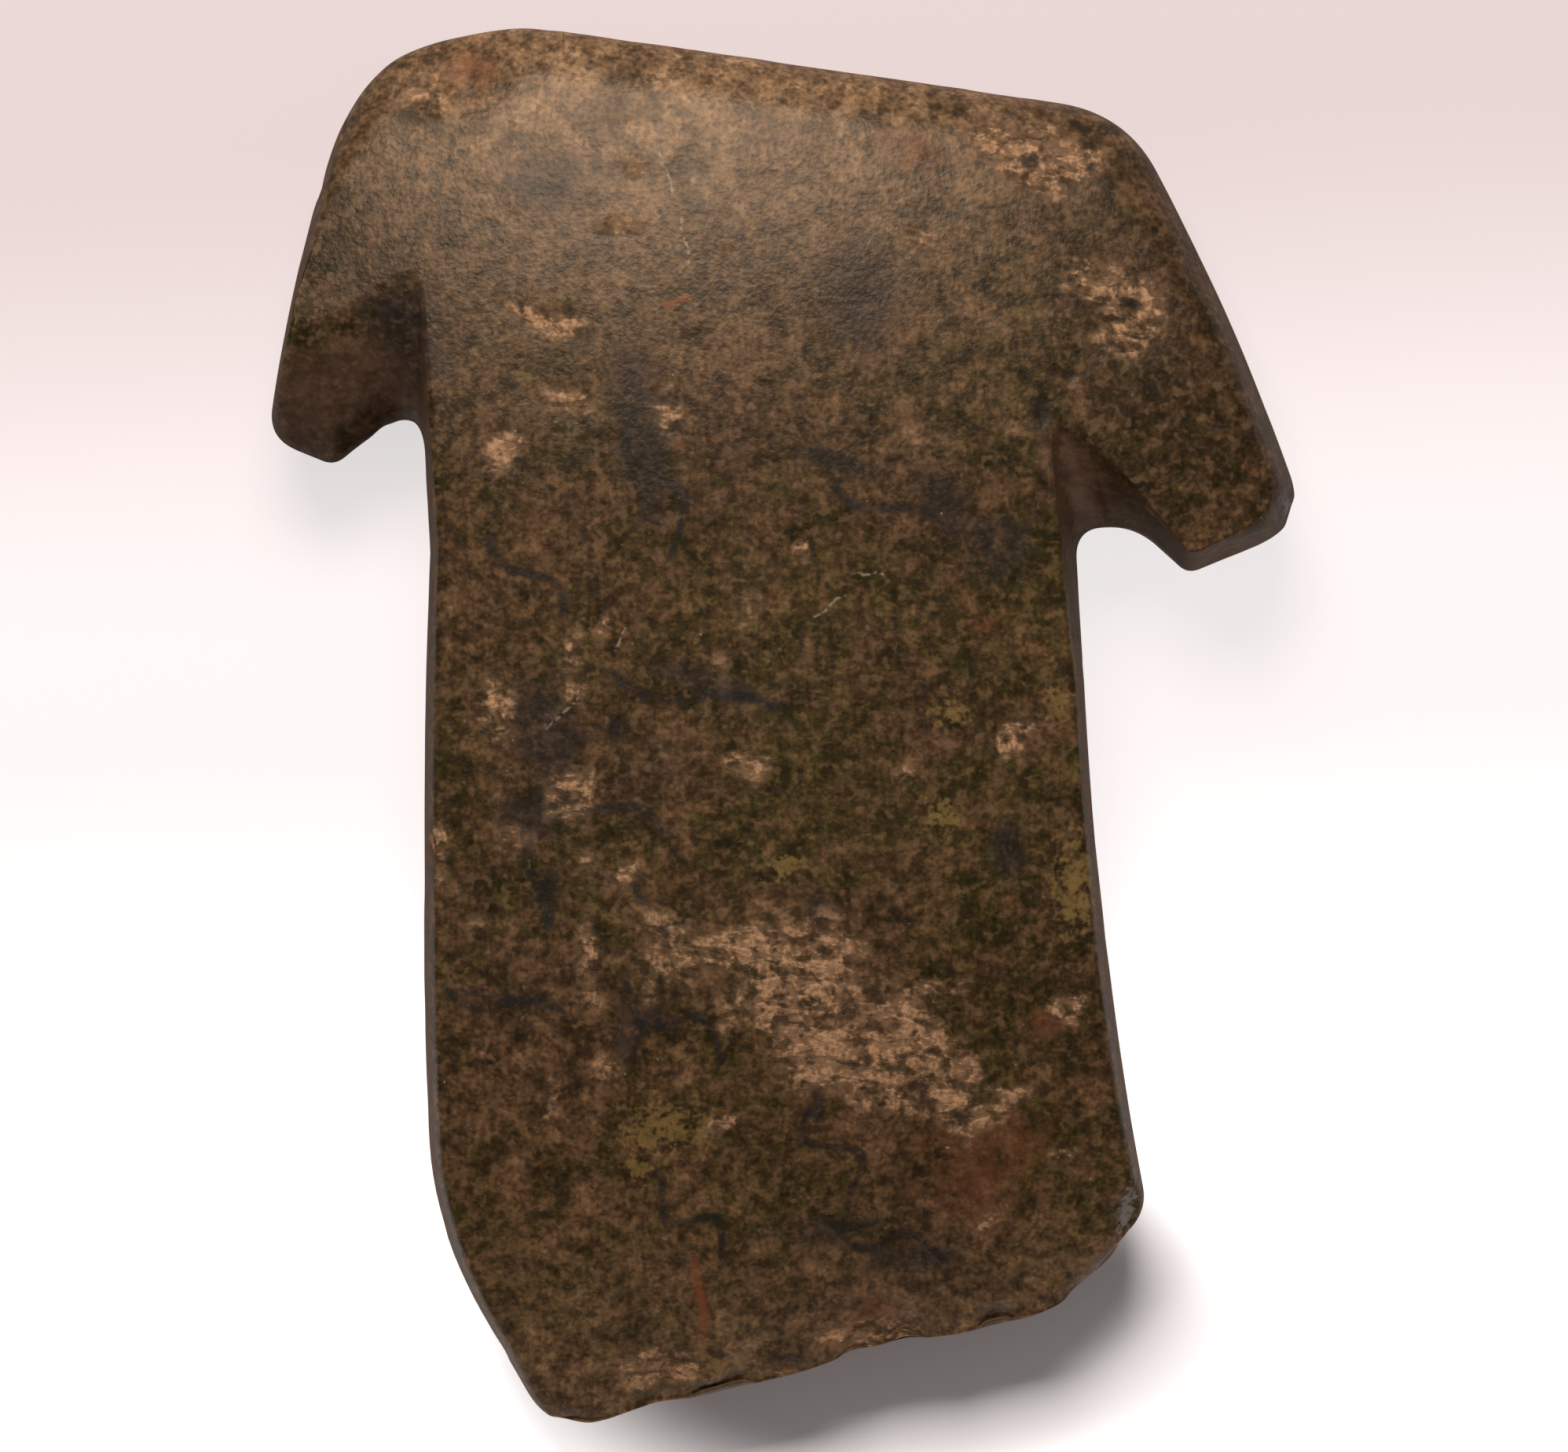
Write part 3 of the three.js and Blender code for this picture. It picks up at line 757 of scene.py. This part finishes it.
class Shade:
    """An output of a shader node. Arithmetic on it adds the node that does it, and node() adds any other."""

    VECTORS = ("VECTOR", "RGBA")

    def __init__(self, tree, socket):
        self.tree = tree
        self.socket = socket

    def node(self, kind, settings=None, output=0, **links):
        """Adds a node of that kind, with its settings, and its inputs by identifier set or linked."""
        return add_node(self.tree, kind, settings, output, **links)

    def _combine(self, operation, first, second):
        sides = (first, second)
        vector = any(isinstance(side, tuple) for side in sides) or any(
            isinstance(side, Shade) and side.socket.type in self.VECTORS for side in sides
        )
        kind = "ShaderNodeVectorMath" if vector else "ShaderNodeMath"
        made = self.tree.nodes.new(kind)
        made.operation = operation
        for place, side in zip(made.inputs, sides):
            if isinstance(side, Shade):
                self.tree.links.new(side.socket, place)
            elif vector:
                place.default_value = side if isinstance(side, tuple) else (side, side, side)
            else:
                place.default_value = side
        return Shade(self.tree, made.outputs[0])

    def __add__(self, other):
        return self._combine("ADD", self, other)

    __radd__ = __add__

    def __sub__(self, other):
        return self._combine("SUBTRACT", self, other)

    def __rsub__(self, other):
        return self._combine("SUBTRACT", other, self)

    def __mul__(self, other):
        return self._combine("MULTIPLY", self, other)

    __rmul__ = __mul__

    def noise(self, size, detail=2.0, roughness=0.5, distortion=0.0):
        """Noise over these coordinates, with features about that many millimetres apart."""
        return self.node(
            "ShaderNodeTexNoise", {"noise_dimensions": "3D"}, Vector=self, Scale=1.0 / size, Detail=detail,
            Roughness=roughness, Distortion=distortion,
        )

    def rise(self, low, high, lowest=0.0, highest=1.0):
        """Goes smoothly from lowest to highest as this value goes from low to high."""
        return self.node(
            "ShaderNodeMapRange", {"interpolation_type": "SMOOTHSTEP"}, Value=self, **{
                "From Min": low, "From Max": high, "To Min": lowest, "To Max": highest,
            },
        )

    def over(self, other, amount):
        """This colour laid over another one by that amount."""
        return self.node(
            "ShaderNodeMix", {"data_type": "RGBA"}, output="Result_Color", Factor_Float=amount, A_Color=other,
            B_Color=self,
        )


def add_node(tree, kind, settings=None, output=0, **links):
    """Adds a node to a tree and returns one of its outputs as a Shade."""
    made = tree.nodes.new(kind)
    for name, value in (settings or {}).items():
        setattr(made, name, value)
    places = {place.identifier: place for place in made.inputs}
    for name, value in links.items():
        if isinstance(value, Shade):
            tree.links.new(value.socket, places[name])
        else:
            places[name].default_value = value
    if isinstance(output, str):
        return Shade(tree, next(each for each in made.outputs if each.identifier == output))
    return Shade(tree, made.outputs[output])


def new_material(name):
    """A material, its tree and shader, the place on the object in millimetres, and that place's axes."""
    material = bpy.data.materials.new(name)
    material.use_nodes = True
    tree = material.node_tree
    place = add_node(tree, "ShaderNodeTexCoord", output=3) * (1.0 / MILLIMETRE)
    axes = add_node(tree, "ShaderNodeSeparateXYZ", Vector=place).socket.node.outputs
    return material, tree, tree.nodes["Principled BSDF"], place, [Shade(tree, axis) for axis in axes]


def plain_colour(tree, value):
    """A steady colour as a Shade."""
    return add_node(tree, "ShaderNodeCombineXYZ", X=value[0], Y=value[1], Z=value[2])


# Share of its half width over which a line is whole, and shares of its reach between which it ends
LINE_CORE = 0.15
LINE_ENDS = (0.8, 1.1)


def drawn_line(across, up, x, y, reach, height, waves, turn, width):
    """A wavy line: near 1 where the height over a sine wave is under its half width, within its reach."""
    cosine, sine = math.cos(math.radians(turn)), math.sin(math.radians(turn))
    along = (across - x) * cosine + (up - y) * sine
    beside = (up - y) * cosine - (across - x) * sine
    angle = along * (waves * math.pi / reach)
    wave = along.node("ShaderNodeMath", {"operation": "SINE"}, Value=angle) * height
    gap = along.node("ShaderNodeMath", {"operation": "ABSOLUTE"}, Value=beside - wave)
    span = along.node("ShaderNodeMath", {"operation": "ABSOLUTE"}, Value=along)
    whole, ended = (reach * end for end in LINE_ENDS)
    return gap.rise(width * LINE_CORE, width, 1.0, 0.0) * span.rise(whole, ended, 1.0, 0.0)


def drawn_lines(across, up, lines, width):
    """All the lines of a table together, each of that half width in millimetres."""
    total = drawn_line(across, up, *lines[0], width)
    for line in lines[1:]:
        total = total + drawn_line(across, up, *line, width)
    return total


# Lines on the shown face, in millimetres: middle, half length, wave height, waves and turn in degrees
STROKES = (
    (-8.0, 86.0, 8.0, 1.6, 1.5, -70), (13.0, 82.0, 7.0, 1.5, 1.0, -35), (-20.0, 78.0, 5.5, 1.4, 1.0, -55),
    (-5.0, 66.0, 9.0, 1.2, 1.0, -20), (-24.0, 39.5, 6.0, 1.0, 1.0, -18), (-9.0, 37.0, 6.5, 1.6, 1.5, -30),
    (4.5, 25.0, 6.0, 1.8, 1.5, -62), (-8.5, 19.0, 5.0, 1.4, 1.5, -40), (9.0, 16.0, 6.0, 1.0, 1.5, -12),
    (-14.0, 56.5, 6.0, 1.3, 1.0, -30), (-20.5, 50.0, 4.5, 0.6, 1.0, -84), (-10.5, 47.0, 4.0, 0.7, 1.0, -78),
)
RED_STREAKS = (
    (-8.2, 12.1, 3.6, 0.2, 1.0, -86), (-5.2, 101.6, 1.4, 0.2, 1.0, 10),
)
SCRATCHES = (
    (-17.3, 65.4, 2.4, 0.0, 1.0, 40), (-5.6, 113.6, 2.6, 0.2, 1.0, -80), (-4.2, 107.0, 2.2, 0.2, 1.0, -86),
    (6.9, 73.5, 1.8, 0.2, 1.0, 30), (10.8, 76.2, 1.4, 0.2, 1.0, -12), (-12.0, 71.6, 1.2, 0.1, 1.0, 60),
)
# Half widths of the strokes, the red streaks and the scratches in millimetres, and how strongly each shows
STROKE_WIDTH, STROKE_COVER = 0.9, 0.84
STREAK_WIDTH, STREAK_COVER, STREAK_LIGHT = 0.6, 0.70, 1.7
SCRATCH_WIDTH, SCRATCH_COVER = 0.2, 0.45

# Centre of the solid in the drawing, in millimetres
DRAWING_CENTRE = (-3.5591, -64.1614)

# Noises of the stone: shift in millimetres, size in millimetres, detail, roughness and distortion
NOISES = {
    "slow": ((0.0, 0.0, 0.0), 16.0, 3.0, 0.55, 0.0),
    "middling": ((40.0, 0.0, 0.0), 3.8, 3.0, 0.62, 0.6),
    "quick": ((0.0, 70.0, 0.0), 1.4, 2.0, 0.55, 0.0),
    "grain": ((0.0, 0.0, 90.0), 0.45, 1.0, 0.55, 0.0),
    "flecks": ((17.0, 31.0, 0.0), 0.95, 1.6, 0.5, 0.0),
    "blotches": ((60.0, 0.0, 55.0), 2.3, 2.0, 0.55, 0.0),
    "specks": ((5.0, 90.0, 9.0), 0.60, 0.0, 0.5, 0.0),
}
# Stretch of two more noises, with the same values after it
STREAKS = ((1.0, 0.10, 1.0), 0.5, 2.0, 0.5, 0.0)
FLAKES = ((1.0, 1.9, 1.0), 2.3, 3.0, 0.62, 0.5)
FLAKE_SLANT = (0.0, 0.30, 0.0)

# Painted light and shade: heights up the drawing in millimetres between which a value changes, and its first
# and last value
HEAD_RISE = (78.0, 130.0)
LUG_RISE = (72.0, 86.0)
BLADE_PAINTED_LIGHT = (2.0, 48.0, 1.26, 0.87)
EDGE_PAINTED_LIGHT = (4.0, 26.0, 0.65, 0.0)
BUTT_PAINTED_LIGHT = (104.0, 124.0, 1.0, 1.50)
# The same across the drawing for the painted shade on the walls, and squares of millimetres across over which
# the lugs come in
WALL_SHADE_RAMP = (-30.0, 25.0, 0.80, 1.45)
LUG_SPREAD = (220.0, 1200.0)
LUG_PAINTED_SHADE = (0.0, 1.0, 1.0, 0.70)
# Heights above the ground in millimetres between which the drawn lines come in
FRONT_RISE = (12.0, 14.0)

# Mottling: which noise, from where to where, and how dark and how light it makes the ground
MOTTLES = (
    ("middling", 0.32, 0.68, 0.56, 1.46), ("quick", 0.32, 0.68, 0.68, 1.32),
    ("grain", 0.30, 0.70, 0.72, 1.28), ("streaks", 0.30, 0.70, 0.84, 1.16),
)
# Grains laid over the ground: colour, noise, from where to where, and how strongly it shows
GRAINS = (("tan", "flecks", 0.54, 0.68, 0.42), ("dark", "flecks", 0.45, 0.34, 0.50))
# Light specks: painted glints, in the same columns
SPECKS = (("scratch", "specks", 0.86, 0.93, 0.50),)
# Stains: mask, colour, noises that break up its rim with their shares, from where to where, and its strength
STAINS = (
    ("clouded", "smudge", {"middling": 0.7, "quick": 0.7}, 0.42, 0.80, 0.62),
    ("crusted", "crust", {"quick": 1.4, "grain": 1.0}, 0.48, 0.95, 0.62),
    ("rusted", "rust", {"quick": 1.1, "middling": 0.9}, 0.36, 0.95, 0.52),
)
# Painted shade on the walls, and the chips' fresh grey with a painted glint, in the same columns
WALLS = ("shaded", "shade", {"middling": 0.3}, 0.45, 0.80, 0.80)
GLINTS = ("glinted", "glint", {"quick": 1.2, "grain": 1.5}, 0.46, 1.02, 0.70)

# Ground: share of the slow noise in its colour, ranges of noise, and how strongly the layers show
SLOW_SHARE = 0.45
BROWN_RANGE = (0.36, 0.60)
RUSSET_RANGE, RUSSET_COVER = (0.48, 0.66), 0.60
ROSE_RANGE, ROSE_SPREAD = (0.48, 0.66), 0.12
LUG_ROSE_LOSS = 0.45
STEEP_RUSSET = 0.60
WALL_MOTTLE = (0.30, 0.70, 0.70, 1.30)
# Drawn lines: share of the quick noise in their wear, and the ranges where strokes and scratches are whole
QUICK_SHARE = 0.6
STROKE_RANGE = (0.36, 0.56)
SCRATCH_RANGE = (0.40, 0.58)
# Pecked patches: ranges of noise for patchiness, base, flakes with painted highlights and hollows with
# painted shade, and how strongly each shows
PATCHY = (0.40, 0.54, 0.30, 1.0)
HEAD_PECK_LOSS = 0.30
BROKEN_SHARES = (0.88, 0.12, 0.04)
BASE_LIGHT, BASE_COVER = (0.30, 0.70, 0.24, 0.62), 0.66
FLAKE_RANGE, FLAKE_PLACE = (0.50, 0.60), (0.05, 0.60, 0.08, 1.0)
FLAKE_HIGHLIGHT, FLAKE_COVER = (0.30, 0.72, 0.55, 1.45), 0.52
PECK_SHADE_RANGE, PECK_SHADE_COVER = (0.47, 0.38), 0.80
# Darker pits, and painted shade in the nicks
PIT_DARK, PIT_COVER = (0.20, 0.9), 0.80
# Added roughness of the walls, the steep sides and the quick noise
WALL_ROUGH, STEEP_ROUGH, QUICK_ROUGH = 0.12, 0.45, 0.18
# Heights of the bumps of the grain, the quick noise and the flakes
GRAIN_BUMP, QUICK_BUMP, FLAKE_BUMP = 0.34, 0.10, 2.8

# What doesn't change over the stone
STONE_SPECULAR = 0.11
STONE_SPECULAR_TINT = (1.0, 0.78, 0.60, 1.0)
BUMP_STRENGTH = 0.50
BUMP_DISTANCE = 0.00026


def ragged(masks, noises, overlay):
    """How strongly an overlay shows: its mask with a rim that is broken up by noises; an overlay is a real
    stain, painted shade or a painted glint.
    """
    name, _, shares, low, high, strength = overlay
    value = masks[name]
    for noise, share_of in shares.items():
        value = value + (noises[noise] - 0.5) * share_of
    return value.rise(low, high) * strength


def sprinkle(ground, noises, paint, layers):
    """Grains over a ground, each kind where its noise is in its range."""
    for name, noise, low, high, strength in layers:
        ground = paint(name).over(ground, noises[noise].rise(low, high) * strength)
    return ground


def stone_noises(place, across):
    """Every noise of the stone by its name."""
    noises = {name: (place + shift).noise(*values) for name, (shift, *values) in NOISES.items()}
    stretch_by, *values = STREAKS
    noises["streaks"] = (place * stretch_by).noise(*values)
    stretch_by, *values = FLAKES
    noises["flaky"] = (place * stretch_by + across * FLAKE_SLANT).noise(*values)
    return noises


def stone_ground(noises, across, up, paint):
    """Mottled ground: olive and brown with russet blotches, and painted light and shade: rose towards the
    head and the edge, darker lugs and a lighter blade.
    """
    amount = noises["slow"] * SLOW_SHARE + noises["middling"] * (1.0 - SLOW_SHARE)
    ground = paint("brown").over(paint("olive"), amount.rise(*BROWN_RANGE))
    ground = paint("russet").over(ground, noises["blotches"].rise(*RUSSET_RANGE) * RUSSET_COVER)
    lugs = (across * across).rise(*LUG_SPREAD)
    # Painted light: rose over the head, less out on the lugs, with some spread at random by the slow noise
    head_share = up.rise(*HEAD_RISE) + noises["slow"].rise(*ROSE_RANGE) * ROSE_SPREAD
    ground = paint("rose").over(ground, head_share * (1.0 - lugs * LUG_ROSE_LOSS))
    # Painted shade: darker out on the lugs of the head
    ground = ground * (lugs * up.rise(*LUG_RISE)).rise(*LUG_PAINTED_SHADE)
    # Painted light: lighter towards the cutting edge and darker above it, with rose laid over the edge
    ground = ground * up.rise(*BLADE_PAINTED_LIGHT)
    ground = paint("rose").over(ground, up.rise(*EDGE_PAINTED_LIGHT))
    for noise, *values in MOTTLES:
        ground = ground * noises[noise].rise(*values)
    return sprinkle(ground, noises, paint, GRAINS), head_share


def lined(ground, noises, across, up, high, paint):
    """Faded strokes, red streaks and scratches drawn over the shown face."""
    front = high.rise(*FRONT_RISE)
    worn = noises["quick"] * QUICK_SHARE + noises["grain"] * (1.0 - QUICK_SHARE)
    worn = worn.rise(*STROKE_RANGE) * front
    strokes = (drawn_lines(across, up, STROKES, STROKE_WIDTH) * worn).rise(0.0, 1.0)
    ground = paint("smudge").over(ground, strokes * STROKE_COVER)
    streaks = drawn_lines(across, up, RED_STREAKS, STREAK_WIDTH) * front
    ground = (paint("rust") * STREAK_LIGHT).over(ground, streaks * STREAK_COVER)
    scratches = drawn_lines(across, up, SCRATCHES, SCRATCH_WIDTH)
    scratches = scratches * noises["grain"].rise(*SCRATCH_RANGE) * front
    return paint("scratch").over(ground, scratches * SCRATCH_COVER)


def pecked_over(ground, noises, masks, head_share, paint):
    """Pecked patches: a dull base, painted highlights on its flakes and painted shade in the hollows between
    them; then darker pits, and painted shade in the nicks.
    """
    patchy = noises["quick"] * QUICK_SHARE + noises["middling"] * (1.0 - QUICK_SHARE)
    peck = masks["pecked"] * patchy.rise(*PATCHY) * (1.0 - head_share * HEAD_PECK_LOSS)
    parts = (noises["flaky"], noises["grain"], peck)
    flaky, grain, raised = (part * share_of for part, share_of in zip(parts, BROKEN_SHARES))
    broken = flaky + grain + raised
    base = paint("peach") * noises["quick"].rise(*BASE_LIGHT)
    ground = base.over(ground, peck * BASE_COVER)
    # Painted highlights on the flakes, and painted shade in the hollows between them
    flakes = broken.rise(*FLAKE_RANGE) * peck.rise(*FLAKE_PLACE)
    ground = (paint("peach") * noises["grain"].rise(*FLAKE_HIGHLIGHT)).over(ground, flakes * FLAKE_COVER)
    ground = paint("dark").over(ground, broken.rise(*PECK_SHADE_RANGE) * peck * PECK_SHADE_COVER)
    # Darker in the pits, and painted shade in the nicks
    return paint("dark").over(ground, masks["pitted"].rise(*PIT_DARK) * PIT_COVER)


def stone_material(colours):
    """Fine-grained stone: mottled olive, brown and rose ground with grains, and the stains laid over it, with
    painted light, shade, highlights and glints.
    """
    material, tree, shader, place, (across, up, high) = new_material("polished_stone_look")
    masks = {
        name: add_node(tree, "ShaderNodeAttribute", {"attribute_name": name}, output=2)
        for name in ("pecked", "crusted", "rusted", "clouded", "pitted", "shaded", "steep", "glinted")
    }
    across = across - DRAWING_CENTRE[0]
    up = up - DRAWING_CENTRE[1]

    def paint(name):
        return plain_colour(tree, getattr(colours, name))

    noises = stone_noises(place, across)
    ground, head_share = stone_ground(noises, across, up, paint)
    for overlay in STAINS:
        ground = paint(overlay[1]).over(ground, ragged(masks, noises, overlay))
    # Painted shade in the hollows and on the upright sides, lighter towards the right, then russet laid over
    # the upright sides
    walls = ragged(masks, noises, WALLS)
    quick = noises["quick"]
    wall_colour = paint("shade") * (quick.rise(*WALL_MOTTLE) * across.rise(*WALL_SHADE_RAMP))
    ground = wall_colour.over(ground, walls)
    ground = paint("russet").over(ground, masks["steep"] * STEEP_RUSSET)
    # Painted light: lighter towards the butt
    ground = ground * up.rise(*BUTT_PAINTED_LIGHT)
    ground = lined(ground, noises, across, up, high, paint)
    # Light specks: painted glints
    ground = sprinkle(ground, noises, paint, SPECKS)
    # Chips: fresh grey stone with a painted glint
    ground = paint("glint").over(ground, ragged(masks, noises, GLINTS))
    ground = pecked_over(ground, noises, masks, head_share, paint)

    rough = masks["pecked"] * (colours.peck_roughness - colours.polish_roughness)
    rough = rough + walls * WALL_ROUGH + masks["steep"] * STEEP_ROUGH + (quick - 0.5) * QUICK_ROUGH
    rough = rough + colours.polish_roughness
    height = noises["grain"] * GRAIN_BUMP + quick * QUICK_BUMP
    height = height + noises["flaky"] * masks["pecked"] * FLAKE_BUMP
    bump = add_node(tree, "ShaderNodeBump", Strength=BUMP_STRENGTH, Distance=BUMP_DISTANCE, Height=height)
    tree.links.new(ground.socket, shader.inputs["Base Color"])
    tree.links.new(rough.socket, shader.inputs["Roughness"])
    tree.links.new(bump.socket, shader.inputs["Normal"])
    shader.inputs["Specular IOR Level"].default_value = STONE_SPECULAR
    shader.inputs["Specular Tint"].default_value = STONE_SPECULAR_TINT
    shader.inputs["Metallic"].default_value = 0.0
    return material


def new_object(context, name, data):
    """A new object in the scene."""
    made = bpy.data.objects.new(name, data)
    context.collection.objects.link(made)
    return made


class AXE_OT_build_head(bpy.types.Operator):
    """Build the worn stone over the CAD solid"""

    bl_idname = "axe.build_head"
    bl_label = "Build axe head"

    def execute(self, context):
        scene = context.scene
        points, quads = plain_stone(scene)
        low, high = (np.array(corner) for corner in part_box(CAD_NODE))
        shift = (low + high) / 2 - (points.min(axis=0) + points.max(axis=0)) / 2
        shift[2] = low[2] - points[:, 2].min()
        level = scene.axe_head_sizes.back_depth
        points, masks = worn_stone(points, vertex_normals(points, quads), level, scene.axe_relief)
        points = points + shift
        mesh = bpy.data.meshes.new("axe_head_stone")
        mesh.from_pydata(points, (), quads)
        mesh.validate()
        for name, values in masks.items():
            attribute = mesh.attributes.new(name, "FLOAT", "POINT")
            attribute.data.foreach_set("value", values.astype(np.float32))
        mesh.shade_smooth()
        mesh.materials.append(stone_material(scene.axe_colours))
        stone = new_object(context, "axe_head_stone", mesh)
        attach(stone, "root")
        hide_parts(CAD_NODE)
        return {"FINISHED"}


def add_light(context, name, place, width, height, power, tint):
    """Adds a soft panel light at a place, facing the stone."""
    data = bpy.data.lights.new(name, "AREA")
    data.shape = "RECTANGLE"
    data.size = width
    data.size_y = height
    data.energy = power
    data.color = tint
    light = new_object(context, name, data)
    light.location = place
    light.rotation_euler = (Vector(LIGHT_AIM) - Vector(place)).to_track_quat("-Z", "Y").to_euler()


# Heights up the table in millimetres between which its colours change, and the glow's first and last share;
# the glow's fade towards the far end is painted shade
TABLE_MIDDLE = (-62.0, 0.0)
TABLE_FAR = (4.0, 52.0)
GLOW_FADE = (8.0, 56.0, 1.0, 0.60)
# Painted shadow under the edge, a dim place in the glow: centre in millimetres, fall per millimetre, where it
# ends and starts
DIM_CENTRE = (8.0, -58.0)
DIM_FALL = (0.033, 0.077)
DIM_RANGE = (0.5, 1.8)
TABLE_ROUGHNESS = 0.9
TABLE_SPECULAR = 0.1
# Panel lights: name, place in metres, width, height, power in watts and tint
LIGHT_AIM = (0.0, 0.0, 0.01)
LIGHTS = (
    ("key_light", (-0.03, 0.32, 0.44), 0.28, 0.22, 5.0, (1.0, 0.97, 0.94)),
    ("low_light", (0.02, -0.50, 0.10), 0.50, 0.10, 0.75, (1.0, 0.90, 0.84)),
)
SKY_TINT = (1.0, 0.975, 0.97, 1.0)
SKY_STRENGTH = 0.17


def table_material(sizes):
    """Pale table top that glows softly as painted light, less towards the far end as painted shade and under
    the edge of the blade as a painted shadow.
    """
    material, tree, shader, _, (across, up, _) = new_material("table_top_look")
    near, middle = plain_colour(tree, sizes.table_near), plain_colour(tree, sizes.table_middle)
    top = middle.over(near, up.rise(*TABLE_MIDDLE))
    top = plain_colour(tree, sizes.table_far).over(top, up.rise(*TABLE_FAR))
    beside = (across - DIM_CENTRE[0]) * DIM_FALL[0]
    below = (up - DIM_CENTRE[1]) * DIM_FALL[1]
    glow = plain_colour(tree, sizes.table_glow) * (beside * beside + below * below).rise(*DIM_RANGE)
    glow = glow * up.rise(*GLOW_FADE)
    tree.links.new(top.socket, shader.inputs["Base Color"])
    tree.links.new(glow.socket, shader.inputs["Emission Color"])
    shader.inputs["Emission Strength"].default_value = 1.0
    shader.inputs["Roughness"].default_value = TABLE_ROUGHNESS
    shader.inputs["Specular IOR Level"].default_value = TABLE_SPECULAR
    return material


class AXE_OT_build_stage(bpy.types.Operator):
    """Build the table, the lights and the camera"""

    bl_idname = "axe.build_stage"
    bl_label = "Build stage"

    def execute(self, context):
        scene = context.scene
        sizes = scene.axe_stage
        half = sizes.table_half
        mesh = bpy.data.meshes.new("table_top")
        corners = [(-half, -half, 0), (half, -half, 0), (half, half, 0), (-half, half, 0)]
        mesh.from_pydata(corners, (), [(0, 1, 2, 3)])
        mesh.materials.append(table_material(sizes))
        new_object(context, "table_top", mesh)

        for values in LIGHTS:
            add_light(context, *values)

        world = bpy.data.worlds.new("studio")
        world.use_nodes = True
        background = world.node_tree.nodes["Background"]
        background.inputs["Color"].default_value = SKY_TINT
        background.inputs["Strength"].default_value = SKY_STRENGTH
        scene.world = world
        scene.view_settings.view_transform = "Standard"

        data = bpy.data.cameras.new("camera")
        data.lens = sizes.lens
        data.sensor_width = SENSOR_WIDTH
        distance = sizes.frame_width * sizes.lens / SENSOR_WIDTH
        camera = new_object(context, "camera", data)
        level = scene.axe_head_sizes.back_depth
        place = Matrix.Translation((sizes.frame_x, sizes.frame_y, level + distance))
        camera.matrix_world = place @ Matrix.Rotation(sizes.roll, 4, "Z")
        scene.camera = camera
        return {"FINISHED"}


class AXE_PT_panel(bpy.types.Panel):
    """Lists the builders in the sidebar of the 3D view"""

    bl_idname = "AXE_PT_panel"
    bl_label = "Stone axe head"
    bl_space_type = "VIEW_3D"
    bl_region_type = "UI"
    bl_category = "Axe"

    def draw(self, context):
        for operator in OPERATORS:
            self.layout.operator(operator.bl_idname)
        for name, group in GROUPS.items():
            box = self.layout.box()
            box.label(text=name.replace("_", " "))
            for field in group.__annotations__:
                box.prop(getattr(context.scene, name), field, text=field.replace("_", " "))


OPERATORS = (AXE_OT_build_head, AXE_OT_build_stage)


def register():
    for each in (*GROUPS.values(), *OPERATORS, AXE_PT_panel):
        bpy.utils.register_class(each)
    for name, group in GROUPS.items():
        setattr(bpy.types.Scene, name, PointerProperty(type=group))


def unregister():
    for name in GROUPS:
        delattr(bpy.types.Scene, name)
    for each in reversed((*GROUPS.values(), *OPERATORS, AXE_PT_panel)):
        bpy.utils.unregister_class(each)


def main():
    register()
    bpy.ops.axe.build_head()
    bpy.ops.axe.build_stage()


if __name__ == "__main__":
    main()
